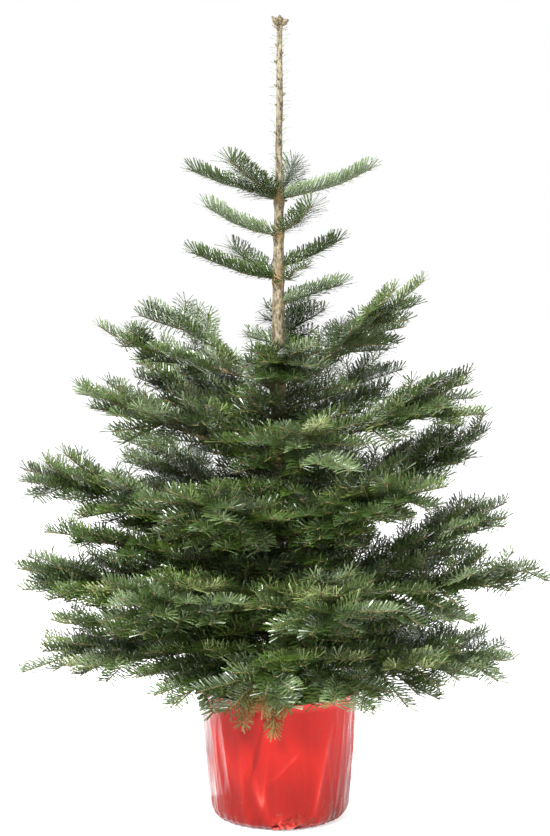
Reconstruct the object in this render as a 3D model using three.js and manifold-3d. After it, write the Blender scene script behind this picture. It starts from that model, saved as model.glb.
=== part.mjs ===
// A pot-grown Christmas tree: a young fir with a long bare leader, a rounded cone of foliage in whorls,
// and a nursery pot wrapped in a loose plastic film. Millimetres, +Z up. The origin is the centre of the
// flat underside of the wrapped pot, and +Y points to the back of the tree.
import * as THREE from "three";
import { mergeVertices } from "three/addons/utils/BufferGeometryUtils.js";
import Module from "manifold-3d";

const wasm = await Module();
wasm.setup();

// ---------------------------------------------------------------- driving dimensions
const TREE_TOP = 1244; // tip of the leader's bud cluster
const SOIL_LEVEL = 186; // top of the growing medium, where the trunk's flat foot stands
const GAP = 0.6; // clearance kept between two solids that meet

const WRAP = { footRadius: 107, rimRadius: 122, height: 204, corner: 20, wall: 2 };
const POT = { wall: 2.6, height: 195 };

const TRUNK = {
  baseRadius: 14.5,
  flareRadius: 21,
  flareHeight: 26,
  lean: -7, // where the foot stands, to the left of the leader's tip
  whorlSwelling: 1.2,
  leaderTop: 1224, // the cluster of buds sits on this
};
const BUDS = { centreRadius: 4.6, centreHeight: 19, sideCount: 5, sideRadius: 3.4, sideLength: 17, spread: 56 };

// Height of each whorl on the trunk.
const WHORL = { leader: 953, second: 677, third: 565, fourth: 455, fifth: 345, lowest: 262 };

// Needle-clad shoots of the last season, each one mass seated on the trunk:
// azimuth from +X, height at the trunk, horizontal reach, rise to the tip, half width of the needles.
const TOP_SHOOTS = [
  { name: "left", azimuth: 184, height: WHORL.leader, reach: 147, rise: 58, half: 17 },
  { name: "front_left", azimuth: 233, height: WHORL.leader + 4, reach: 134, rise: 70, half: 17 },
  { name: "back_left", azimuth: 127, height: WHORL.leader - 2, reach: 118, rise: 52, half: 15 },
  { name: "back", azimuth: 76, height: WHORL.leader + 6, reach: 104, rise: 68, half: 16 },
  { name: "right", azimuth: 357, height: WHORL.leader - 3, reach: 153, rise: 64, half: 18 },
  { name: "upper_left", azimuth: 180, height: 895, reach: 124, rise: 64, half: 15 },
  { name: "upper_right", azimuth: 306, height: 897, reach: 96, rise: 64, half: 15 },
  { name: "middle_left", azimuth: 187, height: 829, reach: 146, rise: 58, half: 15 },
  { name: "middle_back", azimuth: 131, height: 832, reach: 122, rise: 62, half: 14 },
  { name: "middle_right", azimuth: 14, height: 848, reach: 108, rise: 58, half: 15 },
  { name: "middle_front", azimuth: 312, height: 826, reach: 78, rise: 44, half: 15 },
  { name: "lower_right", azimuth: 20, height: 792, reach: 118, rise: 44, half: 12 },
];

// Boughs with a fan of side shoots. lift is how far the tip is above the foot, and bend is the power that
// the lift grows with: over 1 the bough turns up (or droops) towards its tip.
const FANS = [
  { tier: "second", height: WHORL.second, bare: 42, thick: 36, boughs: [
    { azimuth: 350, reach: 236, lift: 178, bend: 1.1, wide: 68 },
    { azimuth: 34, reach: 238, lift: 98, bend: 1.1, wide: 70 },
    { azimuth: 84, reach: 214, lift: 124, bend: 1.1, wide: 60 },
    { azimuth: 147, reach: 254, lift: 130, bend: 1.1, wide: 78 },
    { azimuth: 191, reach: 290, lift: 100, bend: 1.15, wide: 70 },
    { azimuth: 278, reach: 188, lift: 60, bend: 1.1, wide: 72, bare: 0 },
  ] },
  { tier: "third", height: WHORL.third, bare: 50, thick: 47, boughs: [
    { azimuth: 350, reach: 306, lift: 130, bend: 1.1, wide: 98 },
    { azimuth: 56, reach: 296, lift: 124, bend: 1.1, wide: 104 },
    { azimuth: 129, reach: 306, lift: 130, bend: 1.1, wide: 108 },
    { azimuth: 206, reach: 334, lift: 130, bend: 1.15, wide: 104 },
    { azimuth: 284, reach: 272, lift: 82, bend: 1.15, wide: 108 },
  ] },
  { tier: "fourth", height: WHORL.fourth, bare: 0, thick: 52, boughs: [
    { azimuth: 8, reach: 346, lift: 160, bend: 1.15, wide: 102 },
    { azimuth: 74, reach: 336, lift: 124, bend: 1.15, wide: 116 },
    { azimuth: 134, reach: 350, lift: 120, bend: 1.15, wide: 110 },
    { azimuth: 183, reach: 402, lift: 104, bend: 1.2, wide: 106 },
    { azimuth: 247, reach: 332, lift: 90, bend: 1.2, wide: 116 },
    { azimuth: 309, reach: 342, lift: 92, bend: 1.2, wide: 116 },
  ] },
  { tier: "fifth", height: WHORL.fifth, bare: 0, thick: 52, boughs: [
    { azimuth: 17, reach: 400, lift: 146, bend: 1.2, wide: 84 },
    { azimuth: 344, reach: 424, lift: 68, bend: 1.3, wide: 84 },
    { azimuth: 72, reach: 388, lift: 88, bend: 1.2, wide: 116 },
    { azimuth: 124, reach: 396, lift: 84, bend: 1.2, wide: 112 },
    { azimuth: 179, reach: 416, lift: 46, bend: 1.4, wide: 112 },
    { azimuth: 231, reach: 366, lift: 44, bend: 1.3, wide: 108 },
    { azimuth: 288, reach: 352, lift: 40, bend: 1.3, wide: 112 },
  ] },
  { tier: "lowest", height: WHORL.lowest, bare: 0, thick: 43, boughs: [
    { azimuth: 354, reach: 384, lift: 0, bend: 1.6, wide: 106 },
    { azimuth: 48, reach: 364, lift: 6, bend: 1.6, wide: 110 },
    { azimuth: 107, reach: 354, lift: 4, bend: 1.6, wide: 112 },
    { azimuth: 172, reach: 384, lift: 2, bend: 1.6, wide: 110 },
    { azimuth: 223, reach: 228, lift: -66, bend: 2.4, wide: 88 },
    { azimuth: 266, reach: 228, lift: -34, bend: 2.4, wide: 84 },
    { azimuth: 311, reach: 236, lift: -54, bend: 2.4, wide: 86 },
  ] },
  { tier: "between", height: 396, bare: 0, thick: 36, boughs: [
    { azimuth: 197, reach: 376, lift: 78, bend: 1.2, wide: 88 },
    { azimuth: 194, reach: 366, lift: 32, bend: 1.4, wide: 88, height: 296 },
  ] },
];
const BOUGH_RADIUS = { foot: 5.2, end: 3.2 };
const SOCKET = 9; // how far a bough's end is seated inside its foliage

// ---------------------------------------------------------------- colours and finishes
const finish = (color, roughness) => new THREE.MeshStandardMaterial({ color, roughness, metalness: 0 });
const BARK = finish(0x9a8a6c, 0.8);
const BUD = finish(0x9b7d4e, 0.6);
const NEEDLES = finish(0x45602f, 0.55);
const FILM = finish(0xd8352d, 0.25);
const PLASTIC = finish(0x2b2a28, 0.6);
const SOIL = finish(0x3b2a1c, 0.95);

// ---------------------------------------------------------------- geometry helpers
const radians = THREE.MathUtils.degToRad;

// The same sequence of numbers from 0 to 1 for the same seed.
function sequence(seed) {
  let state = seed >>> 0;
  return () => {
    state = (state + 0x6d2b79f5) >>> 0;
    let t = Math.imul(state ^ (state >>> 15), 1 | state);
    t = (t + Math.imul(t ^ (t >>> 7), 61 | t)) ^ t;
    return ((t ^ (t >>> 14)) >>> 0) / 4294967296;
  };
}

function solidOf(geometry) {
  const bare = geometry.clone();
  bare.deleteAttribute("normal");
  bare.deleteAttribute("uv");
  const merged = mergeVertices(bare, 1e-3);
  return new wasm.Manifold(
    new wasm.Mesh({
      numProp: 3,
      vertProperties: new Float32Array(merged.attributes.position.array),
      triVerts: new Uint32Array(merged.index.array),
    }),
  );
}

function geometryOf(solid) {
  const mesh = solid.getMesh();
  const positions = new Float32Array(mesh.numVert * 3);
  for (let i = 0; i < mesh.numVert; i++) {
    for (let k = 0; k < 3; k++) positions[i * 3 + k] = mesh.vertProperties[i * mesh.numProp + k];
  }
  const geometry = new THREE.BufferGeometry();
  geometry.setAttribute("position", new THREE.BufferAttribute(positions, 3));
  geometry.setIndex(new THREE.BufferAttribute(new Uint32Array(mesh.triVerts), 1));
  geometry.computeVertexNormals();
  return geometry;
}

// Moves every vertex of a geometry to what place(vertex) gives.
function reshape(geometry, place) {
  const positions = geometry.attributes.position;
  const vertex = new THREE.Vector3();
  for (let i = 0; i < positions.count; i++) {
    const moved = place(vertex.fromBufferAttribute(positions, i));
    positions.setXYZ(i, moved.x, moved.y, moved.z);
  }
  return geometry;
}

// The largest piece of a cut solid, with the slivers along its cuts smoothed away.
function largestBody(solid) {
  const largest = solid.decompose().reduce((best, body) => (body.volume() > best.volume() ? body : best));
  return largest.simplify(GAP * 0.4);
}

const overlap = (a, b) => [0, 1, 2].every((k) => a.min[k] < b.max[k] && b.min[k] < a.max[k]);

// ---------------------------------------------------------------- trunk
// The trunk leans a little to the right from its foot and is upright at the leader.
function trunkCentre(z) {
  const share = THREE.MathUtils.clamp((z - SOIL_LEVEL) / (TREE_TOP - SOIL_LEVEL), 0, 1);
  return new THREE.Vector3(TRUNK.lean * (1 - share) ** 1.5, 1.5 * Math.sin(Math.PI * 1.4 * share), z);
}

// Radius against height: stout in the crown, slender above the top whorl.
const TRUNK_TAPER = [
  [SOIL_LEVEL, TRUNK.baseRadius],
  [WHORL.second, 10.4],
  [WHORL.second + 90, 9.6],
  [WHORL.leader - 20, 7.2],
  [WHORL.leader + 25, 5.5],
  [TRUNK.leaderTop - 12, 4.2],
  [TRUNK.leaderTop, 4.9],
];

function trunkRadius(z) {
  let i = 1;
  while (i < TRUNK_TAPER.length - 1 && TRUNK_TAPER[i][0] < z) i++;
  const [[z0, r0], [z1, r1]] = [TRUNK_TAPER[i - 1], TRUNK_TAPER[i]];
  const plain = r0 + ((r1 - r0) * (z - z0)) / (z1 - z0);
  const flare = (TRUNK.flareRadius - TRUNK.baseRadius) * Math.exp(-(z - SOIL_LEVEL) / TRUNK.flareHeight);
  const collars = Object.values(WHORL).reduce((sum, w) => sum + Math.exp(-(((z - w) / 12) ** 2)), 0);
  return plain + flare + TRUNK.whorlSwelling * collars;
}

function trunk(grow = 0) {
  const sides = 10;
  const low = SOIL_LEVEL - grow;
  const high = TRUNK.leaderTop + grow;
  const heights = [low, low + 8, low + 20, low + 40];
  for (const w of Object.values(WHORL)) heights.push(w - 22, w, w + 22);
  heights.push(830, 895, 1090, TRUNK.leaderTop - 12, high);
  heights.sort((a, b) => a - b);
  const profile = heights.filter((z, i) => i === 0 || z - heights[i - 1] > 4);
  const points = profile.map((z) => new THREE.Vector2(trunkRadius(z) + grow, z));
  const lathe = new THREE.LatheGeometry([new THREE.Vector2(0, low), ...points, new THREE.Vector2(0, high)], sides);
  lathe.rotateX(Math.PI / 2);
  return reshape(lathe, (v) => {
    const centre = trunkCentre(v.z);
    return new THREE.Vector3(v.x + centre.x, v.y + centre.y, v.z);
  });
}

// One upright bud in a ring of side buds, on the tip of the leader.
function leaderBuds() {
  const centre = trunkCentre(TRUNK.leaderTop);
  const foot = TRUNK.leaderTop + GAP;
  const bud = (radius, length) => new THREE.SphereGeometry(1, 5, 4).scale(radius, radius, length / 2);
  let cluster = solidOf(bud(BUDS.centreRadius, BUDS.centreHeight * 2).translate(centre.x, centre.y, foot));
  for (let i = 0; i < BUDS.sideCount; i++) {
    const side = bud(BUDS.sideRadius, BUDS.sideLength);
    side.translate(0, 0, BUDS.sideLength * 0.36);
    side.rotateY(radians(BUDS.spread + (i % 2) * 12));
    side.translate(2.2, 0, 2.5);
    side.rotateZ((2 * Math.PI * i) / BUDS.sideCount + 0.3);
    side.translate(centre.x, centre.y, foot + 1);
    cluster = cluster.add(solidOf(side));
  }
  const below = new THREE.BoxGeometry(80, 80, 60).translate(centre.x, centre.y, foot - 30);
  return geometryOf(largestBody(cluster.subtract(solidOf(below))));
}

// ---------------------------------------------------------------- limbs
// A point on a limb's own line, with its tangent, its level side direction and its upper side.
function limbFrame(limb, share) {
  const azimuth = radians(limb.azimuth);
  const out = new THREE.Vector3(Math.cos(azimuth), Math.sin(azimuth), 0);
  const point = trunkCentre(limb.height)
    .addScaledVector(out, limb.reach * share)
    .setZ(limb.height + limb.lift * Math.max(share, 0) ** limb.bend);
  const slope = (limb.lift * limb.bend * Math.max(share, 0.02) ** (limb.bend - 1)) / limb.reach;
  const tangent = out.clone().setZ(slope).normalize();
  const side = new THREE.Vector3(-Math.sin(azimuth), Math.cos(azimuth), 0);
  return { point, tangent, side, upper: tangent.clone().cross(side) };
}

// A tapering limb from the trunk's middle to just inside its foliage.
function bough(limb, grow = 0) {
  const end = (limb.bare + SOCKET + grow) / limb.reach;
  const rod = new THREE.CylinderGeometry(1, 1, 1, 6, 2);
  return reshape(rod, (v) => {
    const along = v.y + 0.5;
    const { point, side, upper } = limbFrame(limb, end * along);
    const radius = THREE.MathUtils.lerp(BOUGH_RADIUS.foot, BOUGH_RADIUS.end, along) + grow;
    return point.addScaledVector(side, v.x * radius).addScaledVector(upper, -v.z * radius);
  });
}

// A closed, uneven mass of foliage round a limb. halfSize gives the half width and half thickness at a share
// of the way from where the foliage starts to its tip.
function foliage(limb, grow, rings, sides, halfSize) {
  const random = sequence(Math.round(limb.azimuth * 977 + limb.height * 13));
  const dents = Array.from({ length: (rings + 1) * sides }, () => 0.9 + 0.2 * random());
  const start = limb.bare / limb.reach;
  const ball = new THREE.SphereGeometry(1, sides, rings);
  return reshape(ball, (v) => {
    const along = Math.acos(THREE.MathUtils.clamp(v.y, -1, 1)) / Math.PI;
    const turn = (Math.atan2(v.z, v.x) / (2 * Math.PI) + 1) % 1;
    const ring = Math.round(along * rings);
    const radial = ring === 0 || ring === rings ? 0 : 1;
    const dent = dents[ring * sides + (Math.round(turn * sides) % sides)];
    const tipGrow = (along - 0.5) * 2 * (grow / limb.reach);
    const { point, side, upper } = limbFrame(limb, start + (1 - start) * along + tipGrow);
    const [width, thickness] = halfSize(along, v.x);
    const angle = turn * 2 * Math.PI;
    point.addScaledVector(side, radial * Math.cos(angle) * (width * dent + grow));
    return point.addScaledVector(upper, radial * Math.sin(angle) * (thickness * dent + grow));
  });
}

// A single shoot: needles of one length all along it.
function shootMass(limb, grow = 0) {
  return foliage(limb, grow, 5, 6, (along) => {
    const body = limb.half * (0.82 + 0.3 * Math.sin(Math.PI * along));
    return [body, body * 0.86];
  });
}

// A fan of side shoots: narrow at the trunk, widest past its middle, ending in the bough's own leading shoot.
function fanMass(limb, grow = 0) {
  const random = sequence(Math.round(limb.azimuth * 31 + limb.height));
  const phase = [random(), random()];
  return foliage(limb, grow, 7, 7, (along, sideways) => {
    const open = Math.min(1, 0.28 + along / 0.5);
    const close = Math.min(1, 0.24 + (1 - along) / 0.5);
    const finger = 1 + 0.13 * Math.sin(2 * Math.PI * (3.1 * along + phase[sideways > 0 ? 1 : 0]));
    const thickness = limb.thick * Math.min(1, 0.4 + along * 2.4) * Math.min(1, 0.45 + (1 - along) * 1.9);
    return [limb.wide * open * close * finger, thickness];
  });
}

// ---------------------------------------------------------------- pot, film and growing medium
// Outer radius of the wrapped pot at a height, before its rounded foot.
const wrapRadius = (z) => THREE.MathUtils.lerp(WRAP.footRadius, WRAP.rimRadius, z / WRAP.height);

// Half profile of a cup's surface, inset from the wrap's outside, from the axis out and up to a height.
function cupLine(inset, height) {
  const corner = WRAP.corner - inset;
  const line = [new THREE.Vector2(0, inset)];
  for (let i = 0; i <= 3; i++) {
    const turn = (Math.PI / 2) * (i / 3);
    const z = inset + corner * (1 - Math.cos(turn));
    const pull = corner * (1 - Math.sin(turn));
    line.push(new THREE.Vector2(wrapRadius(z) - inset - pull, z));
  }
  line.push(new THREE.Vector2(wrapRadius(height) - inset, height));
  return line;
}

function turned(profile) {
  return new THREE.LatheGeometry(profile, 24).rotateX(Math.PI / 2);
}

function cup(inset, wall, height) {
  return turned([...cupLine(inset, height), ...cupLine(inset + wall, height).reverse()]);
}

function soilPlug(inset) {
  return turned([...cupLine(inset, SOIL_LEVEL), new THREE.Vector2(0, SOIL_LEVEL)]);
}

// The room that the wrapped pot takes up, which no foliage enters: a prism round the rim.
function potClearance() {
  const sides = 10;
  const radius = (WRAP.rimRadius + 2) / Math.cos(Math.PI / sides);
  return new THREE.CylinderGeometry(radius, radius, WRAP.height + 4, sides)
    .rotateX(Math.PI / 2)
    .translate(0, 0, WRAP.height / 2);
}

// ---------------------------------------------------------------- assembly
const limbs = [
  ...FANS.flatMap((tier) =>
    tier.boughs.map((b, i) => ({
      bare: tier.bare,
      ...b,
      thick: tier.thick,
      height: (b.height ?? tier.height) + 7 * ((i % 3) - 1),
      name: tier.tier + "_" + (i + 1),
      mass: fanMass,
    })),
  ),
  ...TOP_SHOOTS.map((s) => ({ ...s, bare: 0, lift: s.rise, bend: 1.1, name: "top_" + s.name, mass: shootMass })),
];

const tree = new THREE.Group();
function add(name, geometry, material) {
  const mesh = new THREE.Mesh(geometry, material);
  mesh.name = name;
  tree.add(mesh);
}

add("film_wrap", cup(0, WRAP.wall, WRAP.height), FILM);
add("nursery_pot", cup(WRAP.wall + GAP, POT.wall, POT.height), PLASTIC);
add("growing_medium", soilPlug(WRAP.wall + POT.wall + 2 * GAP), SOIL);
add("trunk", trunk(), BARK);
add("leader_buds", leaderBuds(), BUD);

// Each new solid is cut back to GAP from every solid placed before it.
const placed = [];
function place(name, build, material) {
  let solid = solidOf(build(0));
  for (const earlier of placed) {
    if (overlap(solid.boundingBox(), earlier.boundingBox())) solid = solid.subtract(earlier);
  }
  add(name, geometryOf(largestBody(solid)), material);
  placed.push(solidOf(build(GAP)));
}

placed.push(solidOf(trunk(GAP)), solidOf(potClearance()));
for (const limb of limbs.filter((l) => l.bare > 0)) place("bough_" + limb.name, (grow) => bough(limb, grow), BARK);
for (const limb of limbs) place("foliage_" + limb.name, (grow) => limb.mass(limb, grow), NEEDLES);

export default tree;
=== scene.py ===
# %% [markdown]
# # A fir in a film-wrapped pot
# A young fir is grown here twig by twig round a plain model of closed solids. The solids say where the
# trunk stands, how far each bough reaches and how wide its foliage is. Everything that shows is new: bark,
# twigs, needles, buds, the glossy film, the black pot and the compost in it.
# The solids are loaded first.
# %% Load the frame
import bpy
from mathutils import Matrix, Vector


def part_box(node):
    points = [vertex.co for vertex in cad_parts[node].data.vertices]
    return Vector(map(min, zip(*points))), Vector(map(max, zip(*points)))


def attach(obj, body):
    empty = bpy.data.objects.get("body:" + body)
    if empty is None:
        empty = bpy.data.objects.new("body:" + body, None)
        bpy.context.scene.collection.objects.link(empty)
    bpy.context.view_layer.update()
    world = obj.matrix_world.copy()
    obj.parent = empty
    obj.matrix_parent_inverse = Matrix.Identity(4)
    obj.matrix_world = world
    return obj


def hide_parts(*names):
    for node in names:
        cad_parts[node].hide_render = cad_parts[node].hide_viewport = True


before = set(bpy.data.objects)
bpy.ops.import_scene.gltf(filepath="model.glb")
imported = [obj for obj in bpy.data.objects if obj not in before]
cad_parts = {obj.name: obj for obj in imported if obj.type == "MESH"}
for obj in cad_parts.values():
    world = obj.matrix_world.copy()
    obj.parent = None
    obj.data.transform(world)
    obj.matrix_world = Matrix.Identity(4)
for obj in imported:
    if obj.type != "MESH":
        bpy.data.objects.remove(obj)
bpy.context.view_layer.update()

import math

import bmesh
import bpy
import numpy as np
from mathutils import Euler, Vector, noise

# %% [markdown]
# ## Camera
# A tall object is taken from some way off with a long lens, a little above the middle of the crown, so
# that the rim of the pot and the top of each bough show. A camera looks along its own -Z axis, and
# to_track_quat finds the turn that points one axis of an object at a target.
# %% Camera
scene = bpy.context.scene
scene.view_settings.view_transform = "Standard"
CAMERA_PLACE = Vector((-0.007, -3.2, 0.95))
CAMERA_AIM = Vector((-0.007, 0.0, 0.625))
LENS = 89.7  # focal length in millimetres

camera_data = bpy.data.cameras.new("camera")
camera_data.lens = LENS
camera = bpy.data.objects.new("camera", camera_data)
camera.location = CAMERA_PLACE
camera.rotation_euler = (CAMERA_AIM - CAMERA_PLACE).to_track_quat("-Z", "Y").to_euler()
scene.collection.objects.link(camera)
scene.camera = camera
print("camera to tree:", round((CAMERA_AIM - CAMERA_PLACE).length, 2), "m")


# %% [markdown]
# ## Lamps
# The key lamp, high on the left, gives the needles a bright side and the inside of the crown its deep
# shade. A wide lamp on the right fills that shade in. The crown also shades the pot, so three lamps near
# the floor reach in under it: one is wide, and two have a narrow beam that keeps to the pot. All three are
# left out of reflections, where they would show as hard spots on the film. The last three stand behind
# the tree and light the rims of the boughs and the edges of the film.
# %% Lamps
def softbox(name, place, size, watts, target=(0.0, 0.0, 0.6), glossy=True, beam=180):
    """A square soft lamp that faces the tree, and may be left out of reflections. beam is in degrees."""
    lamp = bpy.data.lights.new(name, "AREA")
    lamp.size = size
    lamp.energy = watts
    lamp.spread = math.radians(beam)
    holder = bpy.data.objects.new(name, lamp)
    holder.location = place
    holder.rotation_euler = (Vector(target) - Vector(place)).to_track_quat("-Z", "Y").to_euler()
    holder.visible_camera = False
    holder.visible_glossy = glossy
    scene.collection.objects.link(holder)


NARROW = 16  # degrees, for a beam that keeps to the pot
softbox("key_lamp", (-1.2, -2.7, 2.6), size=0.35, watts=460)
softbox("fill_lamp", (2.3, -2.3, 1.6), size=1.6, watts=62)
softbox("low_lamp", (0.3, -2.8, 0.5), size=1.2, watts=20, target=(0.0, 0.0, 0.1), glossy=False)
softbox("pot_lamp", (0.2, -2.2, 0.1), size=0.4, watts=0.32, target=(0.0, 0.0, 0.09), glossy=False,
        beam=NARROW)
softbox("right_pot_lamp", (2.2, -1.0, 0.1), size=0.4, watts=0.5, target=(0.06, 0.0, 0.09), glossy=False,
        beam=NARROW)
softbox("back_lamp", (0.6, 2.6, 2.6), size=1.8, watts=110)
softbox("left_edge_lamp", (-2.2, 1.4, 0.9), size=1.6, watts=60)
softbox("right_edge_lamp", (2.0, 2.2, 0.9), size=0.9, watts=24)
print("lamps:", len(bpy.data.lights))


# %% [markdown]
# Glossy film shows what stands round it, so its long pale gleams are reflections. A glowing card that lies
# on the floor beside the pot makes one of them. What lies near the pot shows low on the film, and what
# lies far from it shows high, so a card's shape on the floor becomes the shape of its gleam. The world is
# white: it is the background, and it is also the soft light from all round.
# %% Cards and world
CARD_HEIGHT = 0.02


def sheen_card(name, near, far, width, watts):
    """A glowing card that lies on the floor, seen only as a reflection in shiny things."""
    near, far = Vector((*near, CARD_HEIGHT)), Vector((*far, CARD_HEIGHT))
    lamp = bpy.data.lights.new(name, "AREA")
    lamp.shape = "RECTANGLE"
    lamp.size = (far - near).length
    lamp.size_y = width
    lamp.energy = watts
    holder = bpy.data.objects.new(name, lamp)
    holder.location = (near + far) / 2
    holder.rotation_euler = Euler((0.0, math.pi, math.atan2(far.y - near.y, far.x - near.x)), "XYZ")
    holder.visible_camera = False
    holder.visible_diffuse = False
    scene.collection.objects.link(holder)


sheen_card("left_card", near=(-0.15, -0.02), far=(-0.55, 0.17), width=0.14, watts=0.5)
sheen_card("far_left_card", near=(-0.55, 0.12), far=(-1.15, 0.52), width=0.36, watts=4.5)
sheen_card("right_card", near=(0.16, 0.14), far=(0.50, 0.52), width=0.05, watts=0.2)

WHITE = (1.0, 1.0, 1.0, 1.0)
world = bpy.data.worlds.new("studio")
world.use_nodes = True
background = world.node_tree.nodes["Background"]
background.inputs["Color"].default_value = WHITE
background.inputs["Strength"].default_value = 1.0
scene.world = world
print("lamps and cards:", len(bpy.data.lights))


# %% [markdown]
# The floor is one flat square, wide enough to run out of every view.
# %% Floor
FLOOR_HALF_WIDTH = 12.0
shape = bmesh.new()
bmesh.ops.create_grid(shape, x_segments=1, y_segments=1, size=FLOOR_HALF_WIDTH)
mesh = bpy.data.meshes.new("floor")
shape.to_mesh(mesh)
shape.free()
floor = bpy.data.objects.new("floor", mesh)
scene.collection.objects.link(floor)
print("floor:", 2 * FLOOR_HALF_WIDTH, "m wide")


# %% [markdown]
# ## Finishes
# Colours are given on the usual scale of 0 to 255, but a shader counts light, so each number is
# turned into a linear one first.
# %% Colours
def paint(red, green, blue):
    """A colour given on the usual 0 to 255 scale, as the linear numbers that a shader takes."""
    def linear(share):
        share = share / 255
        return share / 12.92 if share <= 0.04045 else ((share + 0.055) / 1.055) ** 2.4
    return (linear(red), linear(green), linear(blue), 1.0)


print("middle grey is", [round(number, 3) for number in paint(128, 128, 128)[:3]])


# %% [markdown]
# Each finish is a Principled shader. Numbers that are the same all over a surface sit on the shader's own
# sockets. A pattern, such as the freckles of the bark, comes from noise on Object coordinates, so it stays
# in place on the piece. The class below keeps the shader and has a short way to add each kind of node.
# %% A finish and its nodes
class Finish:
    """A material with one Principled shader, and short ways to add pattern nodes to it."""

    def __init__(self, name, color, roughness, specular=0.5):
        self.material = bpy.data.materials.new(name)
        self.material.use_nodes = True
        self.material.diffuse_color = color
        self.tree = self.material.node_tree
        self.shader = self.tree.nodes["Principled BSDF"]
        self.set("Base Color", color)
        self.set("Roughness", roughness)
        self.set("Specular IOR Level", specular)

    def set(self, socket, value):
        """One number or colour for the whole surface."""
        self.shader.inputs[socket].default_value = value

    def node(self, kind, **values):
        """A new node, with some of its settings."""
        made = self.tree.nodes.new(kind)
        for key, value in values.items():
            setattr(made, key, value)
        return made

    def link(self, source, target):
        """Joins an output to an input."""
        self.tree.links.new(source, target)

    def place(self, stretch=(1.0, 1.0, 1.0)):
        """Object coordinates, stretched."""
        where = self.node("ShaderNodeTexCoord")
        mapping = self.node("ShaderNodeMapping")
        mapping.inputs["Scale"].default_value = stretch
        self.link(where.outputs["Object"], mapping.inputs["Vector"])
        return mapping.outputs["Vector"]

    def noise(self, scale, detail=4.0, stretch=(1.0, 1.0, 1.0), roughness=0.5):
        """Cloudy noise from 0 to 1."""
        cloud = self.node("ShaderNodeTexNoise")
        cloud.inputs["Scale"].default_value = scale
        cloud.inputs["Detail"].default_value = detail
        cloud.inputs["Roughness"].default_value = roughness
        self.link(self.place(stretch), cloud.inputs["Vector"])
        return cloud.outputs["Fac"]

    def ramp(self, source, *stops):
        """Turns a number into colours: each stop is a place from 0 to 1 and a colour."""
        ramp = self.node("ShaderNodeValToRGB")
        points = ramp.color_ramp.elements
        while len(points) < len(stops):
            points.new(0.5)
        for point, (place, color) in zip(points, stops):
            point.position = place
            point.color = color
        self.link(source, ramp.inputs["Fac"])
        return ramp.outputs["Color"]

    def mix(self, share, first, second):
        """The first colour where share is 0 and the second where it is 1."""
        blend = self.node("ShaderNodeMix", data_type="RGBA")
        for socket, value in (("Factor", share), ("A", first), ("B", second)):
            target = [i for i in blend.inputs if i.name == socket and i.enabled][0]
            if isinstance(value, (tuple, float)):
                target.default_value = value
            else:
                self.link(value, target)
        return [o for o in blend.outputs if o.enabled][0]

    def color_by(self, color):
        """The surface's colour comes from a node."""
        self.link(color, self.shader.inputs["Base Color"])

    def relief(self, height, strength, distance):
        """Small bumps, too fine to be worth a mesh."""
        bump = self.node("ShaderNodeBump")
        bump.inputs["Strength"].default_value = strength
        bump.inputs["Distance"].default_value = distance
        self.link(height, bump.inputs["Height"])
        self.link(bump.outputs["Normal"], self.shader.inputs["Normal"])


# %% [markdown]
# The floor gets the first finish. It glows a little by itself, so that it is almost white and only a soft
# shadow is left under the pot.
# %% Finish of the floor
floor_finish = Finish("pale_floor", (0.6, 0.6, 0.6, 1.0), 0.7, 0.2)
floor_finish.set("Emission Color", WHITE)
floor_finish.set("Emission Strength", 0.45)
floor.data.materials.append(floor_finish.material)
print("finishes:", len(bpy.data.materials))


# %% [markdown]
# ## Reading the trunk
# Everything that grows takes its place and size from the solids, so a change to them changes the tree. The
# trunk's solid is a stack of rings. The middle and the reach of each ring give the trunk's line and its
# taper, and np.interp finds both at any height in between.
# %% The trunk's centre line
def corners(node):
    """The corner points of a solid, in metres."""
    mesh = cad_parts[node].data
    flat = np.zeros(len(mesh.vertices) * 3)
    mesh.vertices.foreach_get("co", flat)
    return flat.reshape(-1, 3)


def unit(vector):
    """The same direction, with a length of 1."""
    return vector / np.linalg.norm(vector)


def read_trunk():
    """Height, centre and radius of each ring of the trunk's solid."""
    cloud = corners("trunk")
    rings = []
    for height in np.unique(np.round(cloud[:, 2], 4)):
        ring = cloud[np.abs(cloud[:, 2] - height) < 1e-4]
        centre = (ring.min(0) + ring.max(0)) / 2
        rings.append((height, centre[0], centre[1], np.hypot(*(ring - centre)[:, :2].T).max()))
    return np.array(rings)


TRUNK = read_trunk()
SOIL_HEIGHT = TRUNK[0, 0]
LEADER_TOP = TRUNK[-1, 0]
print("trunk from", round(SOIL_HEIGHT, 3), "to", round(LEADER_TOP, 3))


def trunk_centre(height):
    """Where the middle of the trunk is at a height, in x and y."""
    return np.array([np.interp(height, TRUNK[:, 0], TRUNK[:, k]) for k in (1, 2)])


def trunk_radius(height):
    """How thick the trunk is at a height."""
    return float(np.interp(height, TRUNK[:, 0], TRUNK[:, 3]))


# %% [markdown]
# ## Reading the limbs
# Each closed foliage solid is read as one limb. Its tip is the corner farthest from the trunk. Its foot is
# on the trunk, or at the end of its bare bough if it has one. The middle of the solid, half way along,
# says how the limb bends, and one quadratic curve runs through the three. The solid's width and thickness
# give the room that the foliage has round that curve.
# %% The limbs
FOOT_DEPTH = 0.02  # how far into a solid its foot goes
ROD_END = 0.004  # the same for a bare bough
MIDDLE_PART = 0.14  # how much of a solid on each side of half way counts as its middle
SINGLE = 0.026  # a solid with less than this half width is one twig and has no side axes
HANGING = 1.4  # how much more room there is below a limb that droops


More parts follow.
